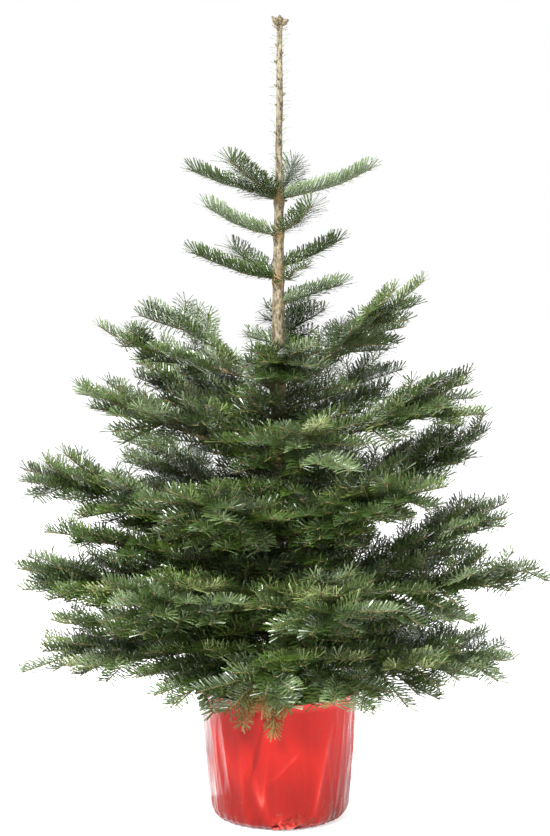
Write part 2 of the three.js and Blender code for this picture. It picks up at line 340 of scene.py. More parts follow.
class Limb:
    """A bough with its foliage: a curve from foot to tip, and the room that the solid gives round it."""

    def __init__(self, mass, bough=None):
        cloud = corners(mass)
        axis = trunk_centre(cloud[:, 2].mean())
        flat = cloud[:, :2] - axis
        reach = np.hypot(*flat.T)
        far = reach.argmax()
        self.mass = mass
        self.tip = cloud[far]
        self.heading = unit(np.append(flat[far], 0.0))
        self.side = np.array([-self.heading[1], self.heading[0], 0.0])
        if bough:
            rod = corners(bough)
            out = (rod[:, :2] - axis) @ self.heading[:2]
            self.foot = rod[out > out.max() - ROD_END].mean(0)
            inner = rod[out < out.min() + ROD_END].mean(0)
            self.bare_foot = np.append(trunk_centre(inner[2]), inner[2])
        else:
            near = cloud[reach < reach.min() + FOOT_DEPTH]
            height = (near[:, 2].min() + near[:, 2].max()) / 2
            self.foot = np.append(trunk_centre(height), height)
            self.bare_foot = None
        along = (cloud - self.foot) @ self.heading
        middle = cloud[np.abs(along / along.max() - 0.5) < MIDDLE_PART]
        self.middle = (self.foot + self.tip) / 2
        self.middle[2] = (middle[:, 2].min() + middle[:, 2].max()) / 2
        self.length = np.linalg.norm(self.tip - self.foot)
        self.half_width = np.abs((cloud - self.foot) @ self.side).max()
        self.half_thick = (middle[:, 2].max() - middle[:, 2].min()) / 2
        self.single = self.half_width < SINGLE

    def at(self, share):
        """The point at a share of the way from foot to tip."""
        bend = 2 * self.middle - (self.foot + self.tip) / 2
        return (1 - share) ** 2 * self.foot + 2 * share * (1 - share) * bend + share ** 2 * self.tip

    def room(self, share, roll):
        """How far the foliage goes from the curve there, towards one roll angle: 0 is level, 90 is up."""
        fullness = math.sin(math.pi * share ** 0.85) ** 0.55 if 0 < share < 1 else 0.0
        level = math.cos(roll) / self.half_width
        rise = math.sin(roll) / self.half_thick
        droops = self.tip[2] < self.foot[2] + 0.01
        more = HANGING if droops and math.sin(roll) < 0 else 1.0
        return fullness * more / math.hypot(level, rise)


# %% [markdown]
# The names of the solids tell what they are. A mass called foliage_third_2 belongs to the bare bough
# called bough_third_2, if there is one, and a mass without one starts at the trunk.
# %% Every limb
masses = sorted(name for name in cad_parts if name.startswith("foliage_"))
boughs = {name.replace("bough_", "foliage_"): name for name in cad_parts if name.startswith("bough_")}
limbs = [Limb(mass, boughs.get(mass)) for mass in masses]
print("limbs:", len(limbs), "with a bare bough:", len(boughs))

# %% [markdown]
# ## Growing
# A fir grows a length of twig each year. At the end of a year's twig the bud goes on, and a bud on each
# side starts a twig of its own, so every bough is a flat fan that narrows to its tip. Short twigs also
# start along the way. Twigs could be strewn at random through the solids, but they wouldn't meet at
# nodes. So the rule below grows them as the tree does: one axis is a chain of yearly twigs, and each node
# starts two side axes, shorter than what the axis still has to grow. A fixed seed makes the choices, so
# the same tree grows each time.
# %% Numbers of the branching rule
rng = np.random.default_rng(46)
YEAR = 0.074  # how far a bough grows in a year
OLDEST = 6  # the most years that a bough has
FORK = math.radians(52)  # between an axis and its side axes
SIDE_SHARE = 0.7  # length of a side axis over what its parent still has to grow
SHORTEST = 0.030  # a side axis shorter than this isn't grown
TIP_ROOM = 0.016  # room for needles between the end of a twig and the end of the solid
STEPS = 3  # straight pieces in a yearly twig
UPWARDS = np.array([0.0, 0.0, 1.0])
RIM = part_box("film_wrap")[1]  # corner of the wrapped pot: its reach in x, its reach in y, its height
print("yearly growth:", YEAR, "m, for at most", OLDEST, "years")


# %% [markdown]
# Low boughs rest on the wrapped pot, so a twig that would pass through the pot or its rim is raised until
# it lies on the rim. A twig also keeps what the needles need to know: its upper side, its age, how often
# its axis has forked off another, and the spray that it belongs to. A spray is one side axis with all that
# grows on it, and it will have one colour.
# %% A yearly twig
RIM_MARGIN = (0.008, 0.004)  # how far out from the rim, and how high over it, a twig keeps clear


def over_rim(points):
    """The same points, raised where they would pass through the wrapped pot or its rim."""
    points = np.array(points)
    near = np.hypot(points[:, 0], points[:, 1]) < RIM[0] + RIM_MARGIN[0]
    points[near, 2] = np.maximum(points[near, 2], RIM[2] + RIM_MARGIN[1])
    return points


class Shoot:
    """One year's twig."""

    def __init__(self, points, up, age, order, spray, last):
        self.points = over_rim(points)
        self.up = up
        self.age = age
        self.order = order
        self.spray = spray
        self.last = last
        self.steps = np.linalg.norm(np.diff(self.points, axis=0), axis=1)
        self.length = self.steps.sum()


shoots = []
spray_count = 0


def new_spray():
    """The number of a new spray."""
    global spray_count
    spray_count += 1
    return spray_count


# %% [markdown]
# Directions are worked out round the twig that is growing. Its tangent points along it and "up" is its
# upper side. A roll angle turns round the tangent, and a fork angle leads away from it.
# %% Directions round a twig
def square_to(vector, axis):
    """The part of vector that is at right angles to axis, as a unit vector."""
    return unit(vector - axis * (vector @ axis))


def forked(tangent, up, roll, angle):
    """A direction that forks off tangent by angle, towards a roll angle round it: 0 is right, 90 is up."""
    outward = np.cross(tangent, up) * math.cos(roll) + up * math.sin(roll)
    return unit(tangent * math.cos(angle) + outward * math.sin(angle))


def side_roll(sign, tilt, spread):
    """The roll angle of a side axis: sign is 1 for the right side and -1 for the left.

    tilt, in degrees, is how far it rises from level, and spread is how much that differs.
    """
    tilt = math.radians(rng.normal(tilt, spread))
    return tilt if sign > 0 else math.pi - tilt


print("the side axes fork off at", round(math.degrees(FORK)), "degrees")


# %% [markdown]
# A side axis grows by small straight steps. At each step its heading strays a little, sags or rises a
# little, and turns slowly back towards the heading of its parent, as side twigs do that reach for the
# light. Where a year ends, the function calls itself for the two side axes there, so the same few lines
# grow a twig, a fan and a whole side bough.
# %% One side axis
STRAY = 0.03  # how much the heading strays at each step
SAG = 0.05  # how much axes differ in their sag
SAG_STEP = 0.16  # the share of the sag that each step takes up
TURN = 0.045  # the usual turn towards the parent's heading at each step
LESS_EACH_ORDER = 0.1  # an axis grows this much less in a year than the one it forks off
LAST_ORDER = 3  # axes that forked this often have no side axes
SHORT_TWIG = {"chance": 0.6, "length": (0.03, 0.052), "on": 0.05}  # single twigs between two nodes


def grow_axis(start, heading, up, length, most_years, order, spray, turn_to=None, turn=TURN):
    """Grows an axis of yearly twigs from start, with side axes of its own.

    turn_to is the heading of its parent, and turn is how much each step turns towards that.
    """
    yearly = YEAR * (1.0 - LESS_EACH_ORDER * order)
    years = int(np.clip(round(length / yearly), 1, most_years))
    steps = STEPS if order < 2 else 2
    point = np.array(start)
    sag = rng.normal(0.0, SAG)
    for year in range(years):
        points = [point]
        for _ in range(steps):
            wander = rng.normal(0.0, STRAY, 3)
            wander[2] += sag * SAG_STEP
            if turn_to is not None:
                wander += turn_to * turn
            heading = unit(heading + wander)
            point = point + heading * length / years / steps
            points.append(point)
        local_up = square_to(up, heading)
        age = years - 1 - year
        shoots.append(Shoot(points, local_up, age, order, spray, age == 0))
        if age > 0 and order < LAST_ORDER:
            left = length * age / years
            for sign in (-1, 1):
                reach = SIDE_SHARE * left * rng.uniform(0.7, 1.1)
                if reach > SHORTEST:
                    way = forked(heading, local_up, side_roll(sign, 4, 12), FORK * rng.uniform(0.85, 1.1))
                    grow_axis(point, way, local_up, reach, age, order + 1, spray, heading)
        long_enough = length / years > SHORT_TWIG["on"]
        if order < 2 and age > 0 and long_enough and rng.random() < SHORT_TWIG["chance"]:
            way = forked(heading, local_up, side_roll(rng.choice((-1, 1)), 10, 20), FORK * 1.15)
            reach = rng.uniform(*SHORT_TWIG["length"])
            grow_axis(points[1], way, local_up, reach, 1, order + 2, spray, heading)


# %% [markdown]
# A limb's main axis doesn't grow freely: it follows the curve that was read from the solid. Its side axes
# are as long as the room round the curve lets them be. A side axis forks off forwards, so the room counts
# a little ahead of the place where it starts.
# %% A side axis of a limb
AHEAD = 0.35  # how far ahead the room is looked up, as a share of the limb's half width
FARTHEST = 0.8  # but not past this share of the limb


def start_side(limb, node, sign, tilt, spread, most, narrow=1.0, turn=TURN):
    """Grows one side axis of a limb. node is where: a point, its share, tangent, upper side and age."""
    point, share, tangent, up, age = node
    roll = side_roll(sign, tilt, spread)
    fork = FORK * narrow * rng.uniform(0.9, 1.1)
    ahead = share + AHEAD * limb.half_width / limb.length
    reach = (limb.room(min(ahead, FARTHEST), roll) - TIP_ROOM * 0.6) / math.sin(fork)
    reach = min(reach, most) * rng.uniform(0.82, 1.06)
    if reach > SHORTEST:
        way = forked(tangent, up, roll, fork)
        grow_axis(point, way, up, reach, max(age, 1), 1, new_spray(), tangent, turn)


# %% [markdown]
# A limb of this fir is no thin fan. Besides the two level side axes, a node has some that are raised or
# lowered, and older nodes have companions: strong axes that run close along the main one, above and below
# it. A bough with a bare foot has fewer of them, and light comes through it. A single shoot, as on the
# leader, has none.
# %% A whole limb
RAISED = ((1, 34), (-1, 34), (1, -30), (-1, -30))  # side and tilt of each
COMPANIONS = ((1, 52), (-1, 52), (1, -50), (-1, -50), (1, -84))
COMPANION_FORK = 0.5  # how much narrower a companion forks off
FULL = 0.85  # how likely each of them is on a bough that is needled from the trunk
THIN = 0.3  # and on one with a bare foot
MAIN_STRAY = 0.0022  # how far the main axis wanders from the curve


def grow_limb(limb):
    """Grows the main axis along the limb's curve, and side axes that fill the room round it."""
    years = 1 if limb.single else int(np.clip(round(limb.length / YEAR), 2, OLDEST))
    marks = np.linspace(0, 1 - TIP_ROOM / limb.length, years * STEPS + 1)
    line = np.array([limb.at(share) for share in marks])
    line[1:-1] += rng.normal(0.0, MAIN_STRAY, (len(line) - 2, 3))
    main_spray = new_spray()
    for year in range(years):
        points = line[year * STEPS:(year + 1) * STEPS + 1]
        age = years - 1 - year
        tangent = unit(points[-1] - points[-2])
        up = square_to(UPWARDS, tangent)
        shoots.append(Shoot(points, up, age, 0, main_spray, age == 0))
        if years == 1:
            continue
        first = year * STEPS
        nodes = [(points[step], marks[first + step], tangent, up, age) for step in range(STEPS + 1)]
        left = limb.length * (age + 0.35) / years
        fullness = FULL if limb.bare_foot is None else THIN
        if age > 0:
            for sign in (-1, 1):
                start_side(limb, nodes[STEPS], sign, 2, 6, SIDE_SHARE * 1.2 * left + 0.03)
            for sign, tilt in RAISED:
                if rng.random() < fullness:
                    start_side(limb, nodes[STEPS], sign, tilt, 10, 0.6 * left + 0.02)
        if age > 1:
            for sign, tilt in COMPANIONS:
                if rng.random() < fullness:
                    start_side(limb, nodes[STEPS], sign, tilt, 14, 0.9 * left, COMPANION_FORK, 0.1)
        for step in (1, 2):
            for sign in (-1, 1):
                if rng.random() < (0.9 if age > 0 else 0.12):
                    tilt = rng.choice((-30, 12, 30))
                    start_side(limb, nodes[step], sign, tilt, 14, 0.5 * left + 0.035)


for limb in limbs:
    grow_limb(limb)
print("twigs on the limbs:", len(shoots), "in", spray_count, "sprays")


# %% [markdown]
# Young firs also carry short boughs straight on the trunk, between the whorls. They close the middle of
# the crown and hide the trunk. The golden angle, about 137.5 degrees, sets each of them apart from those
# just below it, so that the spiral never lines up into rows. Whorls are counted from the top. The first
# set goes from the lowest whorl up to the second and gets shorter on the way. The second set is short and
# closes one gap, between the third whorl and the second.
# %% Short boughs between the whorls
CROWN_FOOT = min(limb.foot[2] for limb in limbs)
BARE_FROM = max(limb.foot[2] for limb in limbs if limb.bare_foot is not None)
GAP = (0.50, 0.645)  # from height to height
GOLDEN = math.pi * (3 - math.sqrt(5))


def short_boughs(count, low, high, rises, lengths, most_years, shrink=0.0):
    """Short boughs in a spiral up the trunk. shrink is how much shorter the topmost ones are.

    rises and lengths are the least and the most that a bough rises, and how long it grows.
    """
    for k in range(count):
        share = (k + 0.5) / count
        height = low + (high - low) * share
        turn = k * GOLDEN + rng.normal(0.0, 0.25)
        out = np.array([math.cos(turn), math.sin(turn), 0.0])
        foot = np.append(trunk_centre(height), height) + out * trunk_radius(height) * 0.8
        heading = unit(out + UPWARDS * rng.uniform(*rises) * (share if shrink else 1.0))
        length = rng.uniform(*lengths) * (1 - shrink * share ** 3)
        grow_axis(foot, heading, square_to(UPWARDS, heading), length, most_years, 1, new_spray())


short_boughs(130, CROWN_FOOT, BARE_FROM, (0.1, 0.55), (0.1, 0.22), most_years=3, shrink=0.7)
short_boughs(44, *GAP, (0.0, 0.5), (0.07, 0.11), most_years=2)
print("twigs with the short boughs:", len(shoots))


# %% [markdown]
# Two side twigs at the front have dried out. They hang over the rim of the pot, and their needles are the
# colour of straw. The branching rule would carry them forwards, so each follows a curve of its own, from
# the lowest bough out over the rim and down.
# %% Dried twigs
PAST_RIM = 0.02  # how far out from the rim they hang


def curve(start, handle, end, count):
    """Points on a curve that leaves start towards handle and arrives at end."""
    share = np.linspace(0, 1, count)[:, None]
    leaving = (1 - share) ** 2 * np.array(start)
    passing = 2 * share * (1 - share) * np.array(handle)
    return leaving + passing + share ** 2 * np.array(end)


def hang_dried_twig(limb, share, aside, drop):
    """A dried twig that leaves the limb, bends out over the rim and hangs in front of the film."""
    start = limb.at(share)
    edge = trunk_centre(start[2]) + limb.heading[:2] * (RIM[0] + PAST_RIM) + limb.side[:2] * aside
    line = curve(start, (*edge, start[2] + 0.01), (*edge, RIM[2] - drop), 2 * STEPS + 1)
    spray = new_spray()
    dried_sprays.add(spray)
    for first in (0, STEPS):
        points = line[first:first + STEPS + 1]
        tangent = unit(points[-1] - points[0])
        up = square_to(limb.heading + UPWARDS, tangent)
        shoots.append(Shoot(points, up, 0, 2, spray, first > 0))
        for sign in (-1, 1):
            way = forked(tangent, up, side_roll(sign, 10, 8), FORK * 0.8)
            grow_axis(points[1], way, up, rng.uniform(0.022, 0.034), 1, 3, spray, tangent)


dried_sprays = set()
front = min((limb for limb in limbs if limb.tip[2] < limb.foot[2] - 0.02), key=lambda limb: limb.tip[1])
hang_dried_twig(front, share=0.4, aside=-0.040, drop=0.026)
hang_dried_twig(front, share=0.5, aside=0.006, drop=0.038)
print("dried twigs hang from", front.mass)

# %% [markdown]
# The leader is this year's growth of the trunk itself. It has fine needles of its own and a small tuft just
# under its buds. Its wood is the trunk's, so both are kept apart from the other twigs, and only needles
# will be laid on them.
# %% The leader
LEVEL = np.array([0.0, 1.0, 0.0])  # an upright twig has no upper side, and any level direction will do
leader_foot = max(limb.foot[2] for limb in limbs) + 0.012
leader_heights = np.linspace(leader_foot, LEADER_TOP - 0.004, 9)
leader_line = [np.append(trunk_centre(height), height) for height in leader_heights]
tuft_line = leader_line[-1] + UPWARDS * [[-0.006], [0.004]]
leader = Shoot(leader_line, LEVEL, 0, 1, new_spray(), True)
under_buds = Shoot(tuft_line, LEVEL, 0, 1, new_spray(), True)
print("leader from", round(leader_foot, 3), "to", round(LEADER_TOP, 3))
needled_length = sum(shoot.length for shoot in shoots)
print("yearly twigs:", len(shoots), "metres of twig:", round(needled_length, 1), "sprays:", spray_count)

# %% [markdown]
# ## Joining many small things
# Two hundred thousand needles as separate objects would be far too heavy, and an operator that is called
# for each of them far too slow. So all that are alike are written straight into one mesh, from arrays of
# points and faces. foreach_set copies a whole array at once.
# %% Meshes from arrays
def joined_piece(name, points, faces, finishes, finish_of_face=None, smooth=False):
    """One piece from arrays of points and three-sided faces, with a finish for each face."""
    mesh = bpy.data.meshes.new(name)
    mesh.vertices.add(len(points))
    mesh.vertices.foreach_set("co", np.asarray(points, np.float32).ravel())
    mesh.loops.add(len(faces) * 3)
    mesh.loops.foreach_set("vertex_index", np.asarray(faces, np.int32).ravel())
    mesh.polygons.add(len(faces))
    mesh.polygons.foreach_set("loop_start", np.arange(len(faces), dtype=np.int32) * 3)
    for finish in finishes:
        mesh.materials.append(finish.material)
    if finish_of_face is not None:
        mesh.polygons.foreach_set("material_index", np.asarray(finish_of_face, np.int32))
    mesh.polygons.foreach_set("use_smooth", np.full(len(faces), smooth))
    mesh.update(calc_edges=True)
    mesh.validate()
    piece = bpy.data.objects.new(name, mesh)
    scene.collection.objects.link(piece)
    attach(piece, "root")
    return piece


# %% [markdown]
# ## Needles
# A fir needle is a flat strap up to 24 mm long and 2 mm wide, narrow at its foot, with a blunt tip, a
# dark upper side and a paler underside. It could be a long box, but there are two hundred thousand of
# them, so each has only four points. Two of the points are a little higher than the others, which makes a
# closed shape with two faces above and two below.
# %% Needle sizes
NEEDLE_LENGTH = 0.0238
NEEDLE_WIDTH = 0.0022
NEEDLES_PER_METRE = 1350  # on a metre of twig
BLADE = np.array([  # forward share, sideways share, lift share
    [0.00, 0.50, 0.2],
    [0.00, -0.50, -0.2],
    [0.94, -1.00, 0.2],
    [1.00, 0.80, -0.2],
])
BLADE_TOP = [(0, 2, 1), (0, 3, 2)]
BLADE_UNDER = [(0, 1, 3), (1, 2, 3)]
NEEDLE_FACES = len(BLADE_TOP) + len(BLADE_UNDER)
print("faces of a needle:", NEEDLE_FACES)


# %% [markdown]
# Needles stand in a spiral round the twig, a golden angle apart. On a level twig they are combed: those
# above are shorter and lean forward, those below turn out to both sides, and the underside is nearly bare.
# On an upright twig they stand all round. Near the end of a young twig they close up round the bud.
# All the needles of a twig are worked out together, in arrays with one row for each needle.
# %% Needles of one twig
COMBED_TO = math.radians(104)  # the roll angle of the lowest needles, where 0 is up
LEAN = {"above": 56, "more_below": 18, "differs": 3.5, "differs_upright": 14}  # degrees off the twig
FACING = {"up": 0.9, "forward": 0.5, "differs": 0.16}  # where a needle's upper side looks
SHORT_ABOVE = 0.76  # length of the topmost needles over that of the lowest
SKIN = 0.0008  # from the middle of the twig to the foot of a needle


def spread_along(shoot, count):
    """Evenly spread points on a twig, with the tangent at each."""
    ends = np.concatenate([[0], np.cumsum(shoot.steps)])
    where = (np.arange(count) + rng.uniform(0.35, 0.65, count)) / count * shoot.length
    step = np.clip(np.searchsorted(ends, where) - 1, 0, len(shoot.steps) - 1)
    share = ((where - ends[step]) / shoot.steps[step])[:, None]
    base = shoot.points[step] * (1 - share) + shoot.points[step + 1] * share
    tangent = (shoot.points[step + 1] - shoot.points[step]) / shoot.steps[step][:, None]
    return base, tangent, where / shoot.length


def each_unit(vectors):
    """Each row as a unit vector."""
    return vectors / np.linalg.norm(vectors, axis=1)[:, None]


def lay_needles(shoot, density=1.0, size=1.0, slim=1.0):
    """Foot, forward and upper direction, length and width of every needle on a twig."""
    count = max(6, int(shoot.length * NEEDLES_PER_METRE * density))
    upright = abs(unit(shoot.points[-1] - shoot.points[0])[2]) > 0.9
    base, tangent, share = spread_along(shoot, count)
    up = each_unit(shoot.up - tangent * (tangent @ shoot.up)[:, None])
    side = np.cross(tangent, up)
    turn = (np.arange(count) * GOLDEN + rng.normal(0, 0.06, count)) % (2 * math.pi) - math.pi
    below = np.abs(turn) / math.pi
    combed = turn if upright else np.sign(turn) * below ** 0.62 * COMBED_TO
    radial = up * np.cos(combed)[:, None] + side * np.sin(combed)[:, None]
    differs = LEAN["differs_upright"] if upright else LEAN["differs"]
    lean = np.radians(LEAN["above"] + LEAN["more_below"] * below + rng.normal(0, differs, count))
    lean *= np.clip((1.08 - share) / 0.16, 0.55, 1) if shoot.last else 1
    forward = each_unit(tangent * np.cos(lean)[:, None] + radial * np.sin(lean)[:, None])
    face = up * FACING["up"] + tangent * FACING["forward"] + rng.normal(0, FACING["differs"], (count, 3))
    face = each_unit(face - forward * (forward * face).sum(1)[:, None])
    longer_below = SHORT_ABOVE + (1 - SHORT_ABOVE) * below
    length = NEEDLE_LENGTH * size * longer_below * rng.uniform(0.9, 1.06, count)
    length *= np.clip(0.6 + share / 0.3, 0, 1)
    width = NEEDLE_WIDTH * slim * rng.uniform(0.85, 1.12, count) / 2
    return base + radial * SKIN, forward, face, length, width


def blades(layout):
    """Points of all the needles of a layout, four for each."""
    base, forward, face, length, width = layout
    across = np.cross(face, forward)
    points = base[:, None] + BLADE[None, :, :1] * (forward * length[:, None])[:, None]
    points = points + BLADE[None, :, 1:2] * (across * width[:, None])[:, None]
    return points + BLADE[None, :, 2:] * (face * width[:, None])[:, None]


# %% [markdown]
# Needles of one spray have one colour, and sprays differ: old ones deep inside are nearly black green,
# those at the light are fresher, and some have a blue-grey bloom. Dried needles are the colour of straw
# and have lost their gloss. A pattern in one green finish could vary the colour too, but it would cut
# across the needles. So each colour is a finish of its own, with a paler one for the underside. That
# underside is kept darker than the pale, banded underside of a real fir needle: painted shade.
# %% Needle colours
# Each underside colour is paler than its upper side but darker than a real underside: painted shade.
TINTS = {  # upper side and underside
    "shade_green": ((22, 36, 4), (36, 48, 17)),
    "deep_green": ((35, 53, 9), (54, 70, 29)),
    "fir_green": ((52, 72, 18), (77, 92, 45)),
    "fresh_green": ((76, 91, 36), (96, 108, 60)),
    "bloom_green": ((68, 85, 46), (96, 109, 80)),
    "pale_green": ((98, 108, 60), (114, 124, 82)),
    "straw": ((86, 69, 36), (94, 79, 48)),
}
FRESH = {"roughness": 0.39, "specular": 0.85}
DRY = {"roughness": 0.7, "specular": 0.15}
UNDER = {"roughness": 0.6, "specular": 0.4}
needle_finishes = {}
for tint, (upper, under) in TINTS.items():
    skin = DRY if tint == "straw" else FRESH
    matt = min(skin["specular"], UNDER["specular"])
    needle_finishes[tint] = (
        Finish("needle_" + tint, paint(*upper), skin["roughness"], skin["specular"]),
        Finish("needle_under_" + tint, paint(*under), UNDER["roughness"], matt),
    )
print("needle finishes:", 2 * len(needle_finishes))


# %% [markdown]
# The light falls off towards the trunk, and so does the freshness of the needles. The function lightness
# says how far out a place is, and the chances of the tints go by it. A long, strong shoot that is a spray
# by itself is mostly deep green.
# %% A tint for every spray
CROWN_HEIGHTS = [0.2, 0.4, 0.75, 1.0]
CROWN_REACHES = [0.3, 0.4, 0.26, 0.16]


def lightness(place):
    """0 at the trunk, where it is dark, and 1 at the outside of the crown."""
    out = np.hypot(*(place[:2] - trunk_centre(place[2])))
    reach = np.interp(place[2], CROWN_HEIGHTS, CROWN_REACHES)
    return float(np.clip(out / reach, 0, 1))


def tint_weights(middle):
    """How likely each tint is for a spray whose middle is there."""
    light = lightness(middle) ** 1.2
    dark = 1 - light
    weights = {
        "shade_green": 0.9 * dark,
        "deep_green": 0.55 + 0.5 * dark,
        "fir_green": 0.9,
        "fresh_green": 0.45 * light + 0.12,
        "bloom_green": 0.5 * light + 0.15,
        "pale_green": 0.16 * light,
        "straw": 0.0,
    }
    return np.array([weights[tint] for tint in TINTS])


def deal_tints():
    """A tint for every spray."""
    sprays = {}
    for shoot in shoots:
        sprays.setdefault(shoot.spray, []).append(shoot.points.mean(0))
    dealt = {}
    for spray, middles in sprays.items():
        weights = tint_weights(np.mean(middles, axis=0))
        choice = rng.choice(list(TINTS), p=weights / weights.sum())
        if len(middles) == 1:
            choice = rng.choice(("deep_green", "fir_green", "bloom_green"), p=(0.65, 0.2, 0.15))
        dealt[spray] = "straw" if spray in dried_sprays else choice
    return dealt


spray_tint = deal_tints()
print("sprays with a tint:", len(spray_tint))


# %% [markdown]
# Twigs in the shade lose many of their needles, and old twigs lose more. So the needles get sparser
# towards the trunk, which is true to the tree and keeps the number of faces down. The open top of the crown
# hides nothing, and there every twig keeps its needles. Single shoots up there are thick with long ones.
# A needle that would stick into the wrapped pot is left out.
# %% Laying the needles
OPEN_ABOVE = BARE_FROM - 0.02  # the crown is open above this height
NEAR_TRUNK, MORE_OUTSIDE = 0.45, 0.6  # density at the trunk, and what is added towards the outside
STRONG_SHOOT = 0.088  # the length from which a limb's yearly twig counts as a strong shoot


def clear_of_pot(points):
    """The needles of a layout that keep out of the wrapped pot."""
    reach = np.hypot(points[:, :, 0], points[:, :, 1])
    inside = (reach < RIM[0] + 0.003) & (points[:, :, 2] < RIM[2] + 0.004)
    return points[~inside.any(axis=1)]


def needle_growth(shoot):
    """How densely a twig is needled, and how long its needles are."""
    if shoot.spray in dried_sprays:
        return 1.5, 0.8
    if shoot.order == 0 and shoot.length > STRONG_SHOOT:
        return 1.8, 1.38
    middle = shoot.points.mean(0)
    density = NEAR_TRUNK + MORE_OUTSIDE * lightness(middle)
    if middle[2] > OPEN_ABOVE:
        density = max(density, 1.1)
    if shoot.age > 2:
        density *= 0.7
    return density, 1.0


layouts = {tint: [] for tint in TINTS}
for shoot in shoots:
    needles = blades(lay_needles(shoot, *needle_growth(shoot)))
    layouts[spray_tint[shoot.spray]].append(clear_of_pot(needles))
layouts["bloom_green"].append(blades(lay_needles(leader, density=0.36, size=0.8, slim=0.4)))
layouts["straw"].append(blades(lay_needles(under_buds, density=2.4, size=0.6, slim=0.45)))
print("needles:", sum(len(group) for groups in layouts.values() for group in groups))

# %% [markdown]
# Now the needles of each tint are joined. A piece stays under 200,000 faces, so a tint that has more is
# split into equal parts. Each face is told which of the two finishes it has: the first two faces of a
# needle are its upper side and the last two its underside.
# %% Needles, joined by colour
MOST_FACES = 190_000
triangles = 0
for tint, groups in layouts.items():
    points = np.concatenate(groups)
    needles = len(points)
    parts = math.ceil(needles * NEEDLE_FACES / MOST_FACES)
    for part, chunk in enumerate(np.array_split(points, parts)):
        first = (np.arange(len(chunk)) * len(BLADE))[:, None, None]
        faces = (first + np.array(BLADE_TOP + BLADE_UNDER)[None]).reshape(-1, 3)
        which = np.tile([0] * len(BLADE_TOP) + [1] * len(BLADE_UNDER), len(chunk))
        piece = joined_piece(f"needles_{tint}_{part + 1}", chunk.reshape(-1, 3), faces,
                             needle_finishes[tint], which)
        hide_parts(*masses)
    triangles += needles * NEEDLE_FACES
    print("needles,", tint, needles)
print("needle faces:", triangles)

# %% [markdown]
# ## Twigs and buds
# Under the needles, each yearly twig is a thin round rod, a little thicker at its older end. A curve with
# a bevel would make one, but there are thousands, so they are joined from arrays as well. A ring of
# corners is set round each point of the line, and a reference direction is carried from ring to ring, so
# that the rod doesn't twist.
# %% Twig rods
TWIG_SIDES = 4  # corners of a ring, enough for a rod 2 mm thick


def rod(points, radii, sides):
    """Points and faces of a closed round rod along a line."""
    tangents = np.gradient(points, axis=0)
    rings = []
    reference = square_to(np.array([0.31, 0.17, 0.93]), unit(tangents[0]))
    for point, tangent, radius in zip(points, tangents, radii):
        tangent = unit(tangent)
        reference = square_to(reference, tangent)
        across = np.cross(tangent, reference)
        turn = np.arange(sides) * 2 * math.pi / sides
        ring = point + radius * (np.cos(turn)[:, None] * reference + np.sin(turn)[:, None] * across)
        rings.append(ring)
    count = len(points)
    nodes = np.concatenate(rings + [points[:1], points[-1:]])
    faces = []
    for ring in range(count - 1):
        for k in range(sides):
            a, b = ring * sides + k, ring * sides + (k + 1) % sides
            faces += [(a, b, b + sides), (a, b + sides, a + sides)]
    low, high = count * sides, count * sides + 1
    for k in range(sides):
        n = (k + 1) % sides
        faces.append((low, n, k))
        faces.append((high, (count - 1) * sides + k, (count - 1) * sides + n))
    return nodes, np.array(faces)


def join(groups):
    """Several sets of points and faces as one."""
    points, faces, first = [], [], 0
    for group_points, group_faces in groups:
        points.append(group_points)
        faces.append(group_faces + first)
        first += len(group_points)
    return np.concatenate(points), np.concatenate(faces)


# %% [markdown]
# This year's twigs are yellow-brown and older ones are greyer, so they are two pieces. The thickness goes
# by the age, because wood grows a ring each year. Both finishes wander between a dark and a light colour.
# %% Twigs, joined by age
YOUNG_RADIUS = 0.00105
LESS_RADIUS = 0.0001  # for each time that the axis forked off
RING_OF_WOOD = 0.00052  # what a year adds to the radius
MAIN_MORE = 1.35  # how much more a year adds on a main axis


def twig_radius(shoot, end):
    """The radius at a twig's older end (end is 0) or at its younger one (end is 1)."""
    years = shoot.age + (0 if end else 0.6)
    more = MAIN_MORE if shoot.order == 0 else 1.0
    return YOUNG_RADIUS - LESS_RADIUS * shoot.order + RING_OF_WOOD * years * more


def freckled(name, dark, light, scale, roughness, specular):
    """A finish that wanders between two colours."""
    finish = Finish(name, light, roughness, specular)
    finish.color_by(finish.ramp(finish.noise(scale, 3), (0.38, dark), (0.62, light)))
    return finish


young_twig = freckled("young_twig", paint(58, 54, 30), paint(96, 88, 52), 160, 0.7, 0.2)
old_twig = freckled("old_twig", paint(46, 40, 28), paint(82, 74, 54), 220, 0.8, 0.2)
for name, finish, chosen in (
    ("young_twigs", young_twig, [s for s in shoots if s.age == 0]),
    ("old_twigs", old_twig, [s for s in shoots if s.age > 0 and s.order > 0]),
):
    rods = []
    for shoot in chosen:
        radii = np.linspace(twig_radius(shoot, 0), twig_radius(shoot, 1), len(shoot.points))
        rods.append(rod(shoot.points, radii, TWIG_SIDES))
    points, faces = join(rods)
    piece = joined_piece(name, points, faces, [finish], smooth=True)
    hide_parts(*masses)
    print(name, "faces:", len(faces))

# %% [markdown]
# Each of this year's twigs ends in a small pointed bud, and strong ones have a pair of side buds too. A
# bud this small is seen only as a pale grain at the tip, so six points and eight faces are enough. The
# buds are joined into one piece, like the twigs.
# %% Buds at the ends of twigs
TIP_BUD = {"length": 0.0046, "radius": 0.0014}
SIDE_BUD = 0.8  # its size over that of an end bud
BUD_SINK = 0.0006  # how deep a bud's foot sits in the twig


def bud_points(foot, heading, size):
    """The six points of a small bud: its foot, four round its belly and its tip."""
    side = square_to(np.array([0.3, 0.2, 0.9]), heading)
    across = np.cross(heading, side)
    belly = foot + heading * TIP_BUD["length"] * size * 0.4
    reach = TIP_BUD["radius"] * size
    ring = [belly + side * reach, belly + across * reach, belly - side * reach, belly - across * reach]
    return np.array([foot, *ring, foot + heading * TIP_BUD["length"] * size])


